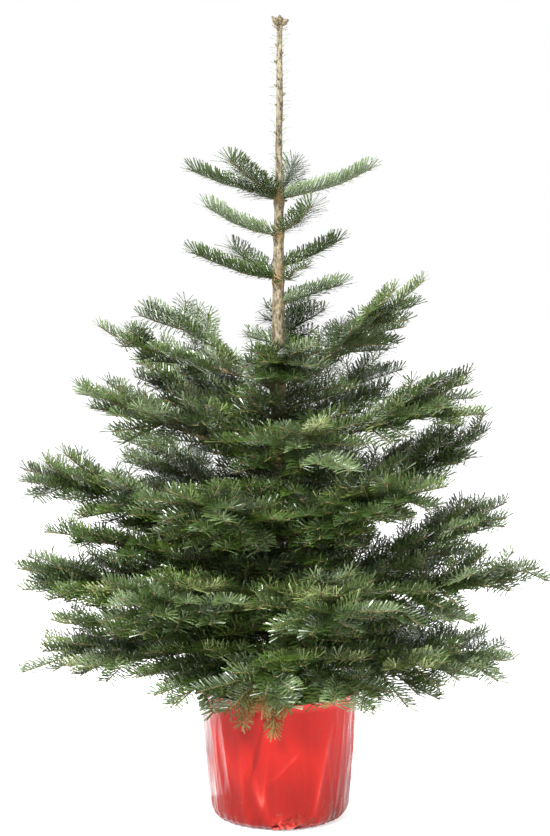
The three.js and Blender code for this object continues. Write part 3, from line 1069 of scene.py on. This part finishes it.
BUD_FACES = np.array([
    (0, 2, 1), (0, 3, 2), (0, 4, 3), (0, 1, 4),  # round the foot
    (5, 1, 2), (5, 2, 3), (5, 3, 4), (5, 4, 1),  # round the tip
])
tip_buds = []
for shoot in shoots:
    if shoot.age > 0 or shoot.spray in dried_sprays:
        continue
    heading = unit(shoot.points[-1] - shoot.points[-2])
    foot = shoot.points[-1] - heading * BUD_SINK
    tip_buds.append((bud_points(foot, heading, 1.0), BUD_FACES))
    if shoot.order < 2 and shoot.length > 0.045:
        for sign in (-1, 1):
            way = forked(heading, shoot.up, 0.0 if sign > 0 else math.pi, FORK * 0.8)
            tip_buds.append((bud_points(foot, way, SIDE_BUD), BUD_FACES))
points, faces = join(tip_buds)
bud_scale = freckled("bud_scale", paint(62, 46, 26), paint(84, 68, 44), 400, 0.6, 0.3)
piece = joined_piece("tip_buds", points, faces, [bud_scale], smooth=True)
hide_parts(*masses)
print("tip buds:", len(tip_buds), "faces:", len(faces))


# %% [markdown]
# ## Bark
# The trunk and the boughs have a skin of smooth young bark with shallow upright cracks, little blisters of
# resin, and a swollen collar under each bough. The cracks could be bumps in the finish alone, but they show
# on the outline of the leader, so they are in the mesh. A closed tube is made for each axis: a circle is
# extruded ring by ring along the centre line, and every new point is set a little in or out. Two numbers
# are kept with each point: "spoke" says where round the ring it is, and "collar" how near it is to a node,
# where the finish will be browner.
# %% Tubes with relief
def tube(shape, centres, surface, sides):
    """Adds a closed tube to a bmesh along its centres.

    surface(ring, centre, outward) gives the radius and the collar number at one place of the tube.
    """
    spoke = shape.verts.layers.int["spoke"]
    collar = shape.verts.layers.float["collar"]
    tangents = np.gradient(centres, axis=0)
    reference = square_to(np.array([0.23, 0.94, 0.11]), unit(tangents[0]))
    verts = bmesh.ops.create_circle(shape, cap_ends=True, segments=sides, radius=1.0)["verts"]
    for k, vert in enumerate(verts):
        vert[spoke] = k
    rim = list(dict.fromkeys(edge for vert in verts for edge in vert.link_edges))
    for ring, centre in enumerate(centres):
        tangent = unit(tangents[ring])
        reference = square_to(reference, tangent)
        across = np.cross(tangent, reference)
        if ring:
            made = bmesh.ops.extrude_edge_only(shape, edges=rim)["geom"]
            verts = [item for item in made if isinstance(item, bmesh.types.BMVert)]
            rim = [item for item in made if isinstance(item, bmesh.types.BMEdge)]
            rim = [edge for edge in rim if edge.verts[0] in verts and edge.verts[1] in verts]
        for vert in verts:
            turn = vert[spoke] * 2 * math.pi / sides
            outward = reference * math.cos(turn) + across * math.sin(turn)
            radius, near = surface(ring, centre, outward)
            vert.co = Vector(centre + outward * radius)
            vert[collar] = near
    bmesh.ops.edgeloop_fill(shape, edges=rim)


def bark_shape():
    """An empty bmesh with the two numbers for each point."""
    shape = bmesh.new()
    shape.verts.layers.int.new("spoke")
    shape.verts.layers.float.new("collar")
    return shape


# %% [markdown]
# Every piece that is made with bmesh ends in the same way. Its faces are turned outwards, it becomes an
# object at the origin, it rides on the tree's body, and it takes the place of the solids it stands for.
# %% From a shape to a piece
def finished_piece(name, shape, finish, slot, *nodes, smooth=True):
    """Turns a bmesh into a piece that rides on the tree and stands for some nodes."""
    bmesh.ops.recalc_face_normals(shape, faces=shape.faces)
    mesh = bpy.data.meshes.new(name)
    shape.to_mesh(mesh)
    shape.free()
    mesh.materials.append(finish.material)
    mesh.polygons.foreach_set("use_smooth", np.full(len(mesh.polygons), smooth))
    piece = bpy.data.objects.new(name, mesh)
    scene.collection.objects.link(piece)
    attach(piece, "root")
    if nodes:
        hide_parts(*nodes)
    print(name, "faces:", len(mesh.polygons))
    return piece


# %% [markdown]
# Young fir bark is grey-brown with dark flecks and pale scars of old needles. Three colours on noise make
# them. The noise is stretched upwards, so the flecks stand upright, as bark cracks do. An attribute node
# reads the collar number back from the mesh and mixes in yellow-brown there.
# %% Finish of the bark
FLECKS_UPRIGHT = (1.0, 1.0, 0.4)
CRACKS_UPRIGHT = (1.0, 1.0, 0.3)
bark = Finish("bark", paint(150, 134, 104), 0.72, 0.3)
flecks = bark.noise(270, 6, FLECKS_UPRIGHT, 0.65)
bark_color = bark.ramp(
    flecks,
    (0.40, paint(36, 30, 20)),
    (0.50, paint(82, 74, 56)),
    (0.64, paint(116, 108, 88)),
)
bark_collar = bark.node("ShaderNodeAttribute", attribute_name="collar")
bark.color_by(bark.mix(bark_collar.outputs["Fac"], bark_color, paint(96, 80, 50)))
bark.relief(bark.noise(420, 3, CRACKS_UPRIGHT), 0.5, 0.0006)
print("nodes of the bark's finish:", len(bark.tree.nodes))

# %% [markdown]
# The trunk's tube follows the centre line and the taper of its solid. The leader isn't quite straight, so
# a slow wander is added there, and it fades out at both ends. Each bough raises a collar on its own side
# of the trunk and a low ring all round.
# %% Trunk
TRUNK_SIDES = 36
RING_STEP = 0.0032
WANDER = 0.0016  # how far the leader bends to and fro
COLLAR = {"height": 0.009, "rise": 0.0016, "all_round": 0.22}
trunk_nodes = []
for limb in limbs:
    seat = limb.foot if limb.bare_foot is None else limb.bare_foot
    trunk_nodes.append((seat[2], limb.heading))


def trunk_line():
    """The middle of each ring of the trunk's tube."""
    heights = np.linspace(SOIL_HEIGHT, LEADER_TOP, int((LEADER_TOP - SOIL_HEIGHT) / RING_STEP))
    line = []
    for height in heights:
        free = np.clip((height - leader_foot) / 0.05, 0, 1) * np.clip((LEADER_TOP - height) / 0.03, 0, 1)
        bend = [noise.noise(Vector((height * 13, side, 3.7))) * WANDER * free for side in (0.0, 9.0)]
        line.append(np.append(trunk_centre(height) + bend, height))
    return np.array(line)


def trunk_surface(ring, centre, outward):
    """Radius of the trunk there, with cracks, blisters and a collar under each bough."""
    radius = trunk_radius(centre[2])
    place = centre + outward * radius
    cracks = noise.noise(Vector((place[0] * 260, place[1] * 260, place[2] * 34)))
    swell = noise.noise(Vector((place[0] * 60, place[1] * 60, place[2] * 26)))
    blister = max(0.0, noise.noise(Vector(place * 210)) - 0.42)
    near = 0.0
    for height, heading in trunk_nodes:
        above = (centre[2] - height) / COLLAR["height"]
        if abs(above) < 3:
            around = (1 - outward @ heading) / 0.35
            near += math.exp(-above ** 2 - around ** 2) + COLLAR["all_round"] * math.exp(-above ** 2)
    near = min(near, 1.0)
    relief = 0.0006 * min(cracks, 0.1) + 0.0007 * swell * radius / 0.01 + 0.0016 * blister
    return radius + (relief + COLLAR["rise"] * near), near


shape = bark_shape()
tube(shape, trunk_line(), trunk_surface, TRUNK_SIDES)
finished_piece("bark_trunk", shape, bark, "bark", "trunk")

# %% [markdown]
# A bough's tube is the same thing, thinner and with fewer sides. It starts inside the trunk, where the two
# grow together, follows the limb's curve and ends where last year's twig starts, because that is among the
# young twigs already. It is thicker at each node, where a year's growth ended.
# %% Boughs
BOUGH_SIDES = 9
BOUGH_STEP = 0.005  # between rings
CURVE_POINTS = 24  # looked up on a limb's curve


def grow_bark_on(shape, limb):
    """Bark along a limb, from inside the trunk to where its last year's twig starts."""
    years = int(np.clip(round(limb.length / YEAR), 2, OLDEST))
    end = (years - 1) / years
    foot = [limb.bare_foot] if limb.bare_foot is not None else []
    line = np.array(foot + [limb.at(share) for share in np.linspace(0, end, CURVE_POINTS)])
    travelled = np.concatenate([[0], np.cumsum(np.linalg.norm(np.diff(line, axis=0), axis=1))])
    marks = np.linspace(0, travelled[-1], int(travelled[-1] / BOUGH_STEP))
    line = np.array([[np.interp(mark, travelled, line[:, k]) for k in range(3)] for mark in marks])
    whole = limb.length + (travelled[-1] - limb.length * end)

    def surface(ring, centre, outward):
        """Radius of the bough there, with cracks and swollen nodes."""
        left = whole - marks[ring]
        radius = 0.0011 + 0.0098 * left ** 0.95
        place = Vector((centre[0] * 90, centre[1] * 90, centre[2] * 90))
        crack = noise.noise(place + Vector(outward) * 1.4)
        year = (left % YEAR) / YEAR
        near = math.exp(-(min(year, 1 - year) / 0.07) ** 2)
        return radius * (1 + 0.09 * crack + 0.16 * near), 0.7 * near

    tube(shape, line, surface, BOUGH_SIDES)


shape = bark_shape()
for limb in limbs:
    if not limb.single:
        grow_bark_on(shape, limb)
finished_piece("bark_boughs", shape, bark, "bark", *boughs.values(), *masses)

# %% [markdown]
# ## The leader's buds
# The leader ends in one upright bud with a ring of side buds under it, each wrapped in overlapping scales
# and sticky with resin. These stand alone against the light, so they get more care than the buds in the
# crown. Each starts as a ball: it is drawn out to a point, and its skin is set out and in again, row by
# row, to make the scales. A row zigzags round the bud, so that its scales come to points.
# %% One scaly bud
BUD_ROWS = 5
BUD_SCALES = 4  # round the bud
SCALE_STEP = 0.2  # how much narrower a scale is at its end


def scaly_bud(shape, foot, heading, length, radius):
    """Adds one bud whose foot is there and that points along heading."""
    verts = bmesh.ops.create_uvsphere(shape, u_segments=16, v_segments=18, radius=1.0)["verts"]
    turn = Vector(heading).to_track_quat("Z", "Y").to_matrix()
    for vert in verts:
        rise = (vert.co.z + 1) / 2
        around = math.atan2(vert.co.y, vert.co.x) / (2 * math.pi) * BUD_SCALES
        row = rise * BUD_ROWS + 0.5 * abs((around * 2) % 2 - 1)
        scale = 1.12 - SCALE_STEP * (row % 1)
        width = radius * scale * math.sin(math.pi * rise ** 0.72) ** 0.85 if 0 < rise < 1 else 0.0
        flat = Vector((vert.co.x, vert.co.y, 0.0))
        flat = flat.normalized() * width if flat.length > 1e-6 else flat
        vert.co = Vector(foot) + turn @ (flat + Vector((0.0, 0.0, rise * length)))


# %% [markdown]
# The cluster is one upright bud and seven round it, by turns steep and flat. Its height is read from the
# solid. The finish wanders, by noise, between dark brown and pale resin.
# %% The cluster on the tip
AROUND = 7
STEEP = {"rise": 1.15, "length": 0.0182}
FLAT = {"rise": 0.62, "length": 0.0166}
CLUSTER_FOOT = np.append(trunk_centre(LEADER_TOP), LEADER_TOP - 0.0015)
CLUSTER_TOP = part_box("leader_buds")[1][2]
shape = bmesh.new()
scaly_bud(shape, CLUSTER_FOOT, UPWARDS, length=(CLUSTER_TOP - CLUSTER_FOOT[2]) * 0.84, radius=0.0048)
for k in range(AROUND):
    turn = 2 * math.pi * k / AROUND + 0.3
    kind = STEEP if k % 2 else FLAT
    way = unit(np.array([math.cos(turn), math.sin(turn), kind["rise"]]))
    scaly_bud(shape, CLUSTER_FOOT + way * 0.0015, way, kind["length"], radius=0.0041)
leader_bud = Finish("leader_bud", paint(90, 78, 52), 0.5, 0.4)
leader_bud.color_by(leader_bud.ramp(
    leader_bud.noise(420, 4),
    (0.38, paint(40, 34, 22)),
    (0.50, paint(78, 68, 46)),
    (0.70, paint(112, 102, 76)),
))
leader_bud.relief(leader_bud.noise(900, 3), 0.4, 0.0004)
finished_piece("leader_bud_cluster", shape, leader_bud, "bud_scale", "leader_buds")

# %% [markdown]
# Lower down, the leader has single small buds that never opened. They stand in the golden spiral too, at
# nearly even heights, with their feet just inside the bark.
# %% Side buds of the leader
SIDE_BUDS = 15
shape = bmesh.new()
line = trunk_line()
stray = rng.uniform(-0.3, 0.3, SIDE_BUDS)
budded = LEADER_TOP - leader_foot - 0.05  # the length of leader that has them
stub_heights = leader_foot + 0.03 + budded * (np.arange(SIDE_BUDS) + stray) / SIDE_BUDS
for k, height in enumerate(stub_heights):
    centre = line[np.abs(line[:, 2] - height).argmin()]
    turn = k * GOLDEN + rng.normal(0, 0.3)
    way = unit(np.array([math.cos(turn), math.sin(turn), 0.7]))
    foot = centre + np.array([way[0], way[1], 0.0]) * trunk_radius(height) * 0.8
    scaly_bud(shape, foot, way, rng.uniform(0.006, 0.0095), rng.uniform(0.0016, 0.0025))
finished_piece("leader_side_buds", shape, leader_bud, "bud_scale", "leader_buds")

# %% [markdown]
# ## The film wrap
# The pot is wrapped in one sheet of glossy red plastic film, pulled tight up its side and gathered under
# its foot. A cloth simulation could drape it, but the creases of a tight wrap are easier to place one by
# one.
# So its smooth outline is read from the solid and spun round the axis, and each point is then pushed in or
# out. The first step is the outline: one list of radius and height, from the middle of the foot out and
# up, with points put in between where the solid has none.
# %% Outline of the wrap
LEVEL_GAP = 6  # how many times farther apart the points may be on a level part, under the foot


def outline_of(node, most_gap):
    """Outer radius of a round solid at each height, with points put in between where it is bare."""
    cloud = corners(node)
    heights = np.unique(np.round(cloud[:, 2], 5))
    reach = np.hypot(cloud[:, 0], cloud[:, 1])
    outer = [reach[np.abs(cloud[:, 2] - height) < 2e-5].max() for height in heights]
    keep = [0]
    for k in range(1, len(heights)):
        if outer[k] > outer[keep[-1]] - 1e-5:
            keep.append(k)
    heights, outer = heights[keep], np.array(outer)[keep]
    line = [(0.0, heights[0])] + list(zip(outer, heights))
    full = [line[0]]
    for (r0, z0), (r1, z1) in zip(line, line[1:]):
        gap = most_gap if z1 > z0 else LEVEL_GAP * most_gap
        steps = max(1, int(math.ceil(math.hypot(r1 - r0, z1 - z0) / gap)))
        full += [(r0 + (r1 - r0) * k / steps, z0 + (z1 - z0) * k / steps) for k in range(1, steps + 1)]
    return full


WRAP_LINE = outline_of("film_wrap", 0.0023)
print("wrap outline points:", len(WRAP_LINE), "from", WRAP_LINE[0], "to", WRAP_LINE[-1])

# %% [markdown]
# A few long creases run up the film where it was pulled over the pot. Each is a straight line on the side
# of the pot that stands out, or in, with a sharp ridge and soft flanks. The table gives, for each, its turn
# round the pot at the top and at the bottom in degrees, its top and bottom height, how far it stands out,
# and its width, in metres. 270 degrees is the front.
# %% Long creases
LONG_CREASES = (
    (222, 228, 0.176, 0.050, 0.0018, 0.0035),
    (206, 214, 0.200, 0.020, 0.0016, 0.0060),
    (238, 240, 0.196, 0.030, 0.0012, 0.0040),
    (262, 247, 0.200, 0.080, -0.0034, 0.0034),
    (262, 256, 0.128, 0.036, 0.0020, 0.0050),
    (246, 256, 0.126, 0.036, 0.0014, 0.0045),
    (284, 264, 0.122, 0.080, 0.0018, 0.0040),
    (310, 299, 0.156, 0.026, 0.0018, 0.0034),
    (326, 322, 0.200, 0.030, 0.0016, 0.0050),
    (344, 352, 0.180, 0.040, 0.0020, 0.0040),
    (8, 2, 0.200, 0.030, 0.0018, 0.0050),
    (31, 40, 0.150, 0.020, 0.0020, 0.0040),
    (58, 52, 0.200, 0.060, -0.0016, 0.0045),
    (84, 96, 0.190, 0.030, 0.0020, 0.0040),
    (121, 112, 0.200, 0.080, 0.0018, 0.0045),
    (148, 156, 0.160, 0.020, 0.0020, 0.0040),
    (176, 171, 0.200, 0.040, 0.0018, 0.0050),
)


def apart(turn, other):
    """Signed difference of two turns, in degrees."""
    return (turn - other + 180) % 360 - 180


def crease_push(turn, height, radius):
    """How far the long creases push the film out at a place."""
    push = 0.0
    for top_turn, low_turn, top, low, step, width in LONG_CREASES:
        share = (top - height) / (top - low)
        if -0.1 < share < 1.1:
            off = math.radians(apart(turn, top_turn + apart(low_turn, top_turn) * share)) * radius
            if abs(off) < width * 4:
                fade = min(1.0, (share + 0.1) / 0.25, (1.1 - share) / 0.25)
                push += step * fade * math.exp(-abs(off) / width)
    return push


print("long creases:", len(LONG_CREASES))


# %% [markdown]
# The rest of the relief is random. Slow noise makes the buckles, and where a finer noise passes through
# zero it makes the sharp ridges of small creases. Pleats run in under the foot, where there is too much
# film for the narrower round. At one place near the front it was bunched and knotted, and it is crumpled
# there.
# %% Small creases, pleats and the knot
PLEATS = {"count": 23, "depth": 0.0022, "height": 0.016}
KNOT = {"turn": 277, "spread": 15, "height": 0.020, "depth": 0.014}


def film_push(turn, height, radius):
    """How far the film stands out from its smooth outline at a place."""
    angle = math.radians(turn)
    x, y = math.cos(angle), math.sin(angle)
    buckle = noise.noise(Vector((x * 2.2, y * 2.2, height * 7))) * 0.0014
    ridge = 0.5 - abs(noise.noise(Vector((x * 5.5 + height * 4, y * 5.5, height * 9 + 4.1))))
    small = 0.5 - abs(noise.noise(Vector((x * 13 - height * 9, y * 13 + height * 6, height * 24 + 8.3))))
    push = buckle + 0.0027 * (ridge - 0.28) + 0.0006 * (small - 0.3)
    push += crease_push(turn, height, radius)
    pleat = abs(math.sin(angle * PLEATS["count"] + 2.2 * noise.noise(Vector((x * 3, y * 3, 0.7)))))
    push += PLEATS["depth"] * (0.4 - pleat) * math.exp(-(height / PLEATS["height"]) ** 2)
    off = apart(turn, KNOT["turn"]) / KNOT["spread"]
    knot = math.exp(-off ** 4 - (height / KNOT["height"]) ** 2)
    crumple = 0.5 - 1.2 * abs(noise.noise(Vector((x * 9, y * 9, height * 170))))
    push += knot * KNOT["depth"] * crumple
    return push


print("push at the knot:", round(film_push(KNOT["turn"], 0.01, 0.1), 4))


# %% [markdown]
# Spin turns an outline into a round shell. A full turn ends where it began, so use_merge joins the seam,
# and remove_doubles joins the many points that meet on the axis. The same helper makes the pot and the
# compost later.
# %% Spinning an outline
def spun(line, steps):
    """A bmesh of a line of (radius, height) points spun once round the upright axis."""
    shape = bmesh.new()
    verts = [shape.verts.new((radius, 0.0, height)) for radius, height in line]
    edges = [shape.edges.new(pair) for pair in zip(verts, verts[1:])]
    bmesh.ops.spin(shape, geom=verts + edges, cent=(0, 0, 0), axis=(0, 0, 1), angle=2 * math.pi,
                   steps=steps, use_merge=True)
    bmesh.ops.remove_doubles(shape, verts=shape.verts, dist=1e-6)
    bmesh.ops.recalc_face_normals(shape, faces=shape.faces)
    return shape


# %% [markdown]
# Now the shell is made and each of its points is moved. The middle of the foot stays flat, so that the pot
# stands. Above the pot the film is free: it waves up and down, and flares outwards most at one place. How
# far each point stands out is kept with it, for the finish, which uses it to paint shade in the hollows and
# a highlight on the ridges. Last, solidify gives the film its thickness.
# %% The wrap
SPIN_STEPS = 360
FILM = 0.0005  # its thickness
EDGE_FROM = 0.186  # above this height the film is free of the pot
MOST_INWARD = 0.0018  # the pot is behind it, so the film can't go in farther
FLAT_FOOT = 0.02  # radius of the part that stays flat
FLARE = {"turn": 322, "spread": 14, "reach": 0.006}
shape = spun(WRAP_LINE, SPIN_STEPS)
stand_off = shape.verts.layers.float.new("stand_off")
for vert in shape.verts:
    radius, height = math.hypot(vert.co.x, vert.co.y), vert.co.z
    if radius < FLAT_FOOT:
        continue
    turn = math.degrees(math.atan2(vert.co.y, vert.co.x))
    out = Vector((vert.co.x, vert.co.y, 0.0)) / radius
    push = max(film_push(turn, height, radius), -MOST_INWARD)
    push *= min(1.0, (radius - FLAT_FOOT) / 0.06)
    free = max(0.0, (height - EDGE_FROM) / (WRAP_LINE[-1][1] - EDGE_FROM))
    wave = noise.noise(Vector((out.x * 2.6, out.y * 2.6, 5.5)))
    flare = noise.noise(Vector((out.x * 1.9 + 4, out.y * 1.9, 2.5)))
    flare += math.exp(-(apart(turn, FLARE["turn"]) / FLARE["spread"]) ** 2)
    vert[stand_off] = push / 0.004
    vert.co += out * (push + max(0.0, flare) * FLARE["reach"] * free ** 2)
    vert.co.z += free * (0.004 * wave + 0.0016 * noise.noise(Vector((out.x * 9, out.y * 9, 1.5))))
bmesh.ops.solidify(shape, geom=list(shape.faces), thickness=FILM)

red_film = Finish("red_film", paint(140, 12, 6), 0.22, 0.14)
finished_piece("red_wrap", shape, red_film, "red_film", "film_wrap")

# %% [markdown]
# ## Finish of the film
# The film is clear red and shines. Its colour depends on two things that a shader can read: the height,
# from Object coordinates, and the stand_off number of each point. A clear shell over the pot would be truer
# to the real film, but it is slow to render and looks nearly the same, so the film is opaque. The two
# helpers below turn a number into a share from 0 to 1 and do arithmetic.
# %% Helpers for the film
split = red_film.node("ShaderNodeSeparateXYZ")
red_film.link(red_film.place(), split.inputs["Vector"])
film_height = split.outputs["Z"]


def share_between(finish, number, low, high):
    """A share that goes from 0 where the number is low to 1 where it is high."""
    reach = finish.node("ShaderNodeMapRange")
    reach.inputs["From Min"].default_value = low
    reach.inputs["From Max"].default_value = high
    finish.link(number, reach.inputs["Value"])
    return reach.outputs["Result"]


def arithmetic(finish, operation, first, second):
    """One step of arithmetic on two numbers, such as ADD or MULTIPLY."""
    made = finish.node("ShaderNodeMath", operation=operation)
    for socket, value in zip(made.inputs, (first, second)):
        if isinstance(value, float):
            socket.default_value = value
        else:
            finish.link(value, socket)
    return made.outputs["Value"]


# %% [markdown]
# In a hollow the film lies on the black pot and looks darker, and there the ramp also paints shade into the
# crease. On a ridge it stands free and looks paler, and the ramp paints a pale pink highlight on it, so the
# colour goes from dark to pink with the stand_off number. Towards the rim the boughs shade the film, and a
# lighter red is painted there to make up for that shade. The free edge is painted pinker, as light shining
# through the film would make it, with nothing dark behind it.
# %% Reds of the film
# The stand_off ramp paints shade into the creases and a pink highlight onto the ridges.
crease_shade_and_highlight = red_film.node("ShaderNodeAttribute", attribute_name="stand_off")
crease_shade_and_highlight = share_between(red_film, crease_shade_and_highlight.outputs["Fac"], -0.5, 1.5)
film_color_and_painted_light = red_film.ramp(
    crease_shade_and_highlight,
    (0.00, paint(50, 2, 1)),
    (0.14, paint(90, 8, 4)),
    (0.36, paint(104, 12, 7)),
    (0.54, paint(120, 22, 16)),
    (0.76, paint(172, 66, 58)),
)
# Painted light: a lighter red rises with height to make up for the shade of the boughs.
rim_painted_light = share_between(red_film, film_height, 0.06, 0.18)
film_color_and_painted_light = red_film.mix(arithmetic(red_film, "MULTIPLY", rim_painted_light, 0.3), film_color_and_painted_light, paint(180, 24, 15))
# Painted light: the free edge is pinker, as light shining through the film would make it.
edge = share_between(red_film, film_height, 0.188, 0.212)
film_color_and_painted_light = red_film.mix(edge, film_color_and_painted_light, paint(190, 60, 62))
print("nodes so far:", len(red_film.tree.nodes))

# %% [markdown]
# Watering has splashed soil on the film, most of it near the foot and in patches. Fine noise gives the
# grain of the splashes, and coarse noise says where the patches are. Soil is dull, so the same number that
# darkens the colour makes the surface rougher.
# %% Soil on the film
splash = red_film.noise(60, 8, (1.0, 1.0, 0.8), 0.7)
lowness = share_between(red_film, film_height, 0.06, 0.005)
patches = share_between(red_film, red_film.noise(11, 1), 0.45, 0.6)
near_foot = arithmetic(red_film, "MULTIPLY", lowness, patches)
dirty = arithmetic(red_film, "ADD", splash, arithmetic(red_film, "MULTIPLY", near_foot, 0.22))
dirt = share_between(red_film, dirty, 0.60, 0.82)
dirt = arithmetic(red_film, "MULTIPLY", dirt, 0.75)
red_film.color_by(red_film.mix(dirt, film_color_and_painted_light, paint(74, 34, 20)))
dullness = arithmetic(red_film, "ADD", arithmetic(red_film, "MULTIPLY", dirt, 0.4), 0.2)
red_film.link(dullness, red_film.shader.inputs["Roughness"])
red_film.relief(red_film.noise(160, 3), 0.15, 0.0008)
print("nodes of the film's finish:", len(red_film.tree.nodes))

# %% [markdown]
# ## The nursery pot
# Inside the film is a black nursery pot, thin and moulded, with a rolled rim. It is round, so it is spun.
# Its outside follows the solid's outline. The section is drawn once, from the middle of the floor out, up
# the wall, over the bead of the rim and back down the inside.
# %% Nursery pot
POT_WALL = 0.0018
POT_LINE = outline_of("nursery_pot", 0.012)
rim_radius, rim_height = POT_LINE[-1]
BEAD = 0.0023  # radius of the rolled rim
POT_FLOOR = POT_LINE[0][1] + 0.0025
bead = [
    (rim_radius - BEAD + BEAD * math.cos(turn), rim_height - BEAD + BEAD * math.sin(turn))
    for turn in np.linspace(-0.2 * math.pi, 1.2 * math.pi, 12)
]
outer = [point for point in POT_LINE if point[1] < rim_height - 2.2 * BEAD]
inner = [(radius - POT_WALL, height) for radius, height in reversed(outer) if height > POT_FLOOR + 0.004]
inner.append((inner[-1][0] - 0.004, POT_FLOOR))
shape = spun(outer + bead + inner + [(0.0, POT_FLOOR)], 96)
pot_plastic = Finish("pot_plastic", paint(26, 26, 27), 0.5, 0.4)
scuffs = pot_plastic.noise(70, 5)
pot_plastic.color_by(pot_plastic.ramp(scuffs, (0.35, paint(20, 20, 21)), (0.7, paint(40, 39, 38))))
pot_plastic.relief(pot_plastic.noise(300, 2), 0.2, 0.0004)
finished_piece("black_nursery_pot", shape, pot_plastic, "pot_plastic", "nursery_pot")

# %% [markdown]
# ## The compost
# The compost fills the pot nearly to the rim. Its top is lumpy and dips towards the wall, because water
# washes it down there. The plug is spun from the solid's outline, with many rings on the top, and fractal
# noise, which is noise with finer noise added to it, lowers the points there.
# %% Compost
TOP_RINGS = 44
SOIL_LINE = outline_of("growing_medium", 0.02)
soil_radius, soil_height = SOIL_LINE[-1]
top_line = [(soil_radius * (1 - k / TOP_RINGS), soil_height) for k in range(TOP_RINGS + 1)]
shape = spun(SOIL_LINE[:-1] + top_line, 120)
for vert in shape.verts:
    if vert.co.z > soil_height - 1e-4:
        reach = math.hypot(vert.co.x, vert.co.y)
        lumps = noise.fractal(Vector((vert.co.x * 62, vert.co.y * 62, 2.0)), 0.8, 2.1, 4)
        vert.co.z -= 0.0022 - 0.0018 * min(max(lumps, -1.0), 1.0) + 0.0035 * (reach / soil_radius) ** 6
compost = Finish("compost", paint(52, 40, 30), 0.95, 0.15)
crumbs = compost.noise(330, 6)
compost.color_by(compost.ramp(crumbs, (0.35, paint(30, 23, 18)), (0.6, paint(66, 50, 37))))
compost.relief(compost.noise(500, 5), 0.7, 0.001)
finished_piece("compost_plug", shape, compost, "compost", "growing_medium")

# %% [markdown]
# Flat chips of bark and small white crumbs of perlite lie in the top of the compost. Both are the same
# thing made twice: a ball of twenty faces, stretched, turned and broken up a little. Chips aren't smooth,
# so their faces stay flat.
# %% Chips and crumbs on the compost
CHIPS, CRUMBS = 420, 110


def scatter(shape, count, size, flatness, height):
    """Adds small broken lumps at random places on top of the compost."""
    for _ in range(count):
        reach = soil_radius * 0.95 * math.sqrt(rng.uniform(0.04, 1))
        turn = rng.uniform(0, 2 * math.pi)
        verts = bmesh.ops.create_icosphere(shape, subdivisions=1, radius=1.0)["verts"]
        spin = Euler((rng.normal(0, 0.3), rng.normal(0, 0.3), rng.uniform(0, 6.3))).to_matrix()
        scale = size * rng.uniform(0.6, 1.3)
        for vert in verts:
            rough = Vector((vert.co.x * rng.uniform(0.8, 1.2), vert.co.y * 0.6, vert.co.z * flatness))
            place = Vector((reach * math.cos(turn), reach * math.sin(turn), height))
            vert.co = place + spin @ rough * scale


shape = bmesh.new()
scatter(shape, CHIPS, size=0.0042, flatness=0.3, height=soil_height - 0.0024)
bark_chip = Finish("bark_chip", paint(84, 58, 38), 0.85, 0.2)
grain = bark_chip.noise(240, 4)
bark_chip.color_by(bark_chip.ramp(grain, (0.35, paint(52, 36, 25)), (0.65, paint(104, 74, 50))))
finished_piece("bark_chips", shape, bark_chip, "compost", "growing_medium", smooth=False)
shape = bmesh.new()
scatter(shape, CRUMBS, size=0.0016, flatness=0.8, height=soil_height - 0.0016)
perlite = Finish("perlite", paint(214, 210, 200), 0.9, 0.2)
grain = perlite.noise(700, 3)
perlite.color_by(perlite.ramp(grain, (0.3, paint(178, 172, 160)), (0.6, paint(224, 221, 212))))
finished_piece("perlite_crumbs", shape, perlite, "compost", "growing_medium", smooth=False)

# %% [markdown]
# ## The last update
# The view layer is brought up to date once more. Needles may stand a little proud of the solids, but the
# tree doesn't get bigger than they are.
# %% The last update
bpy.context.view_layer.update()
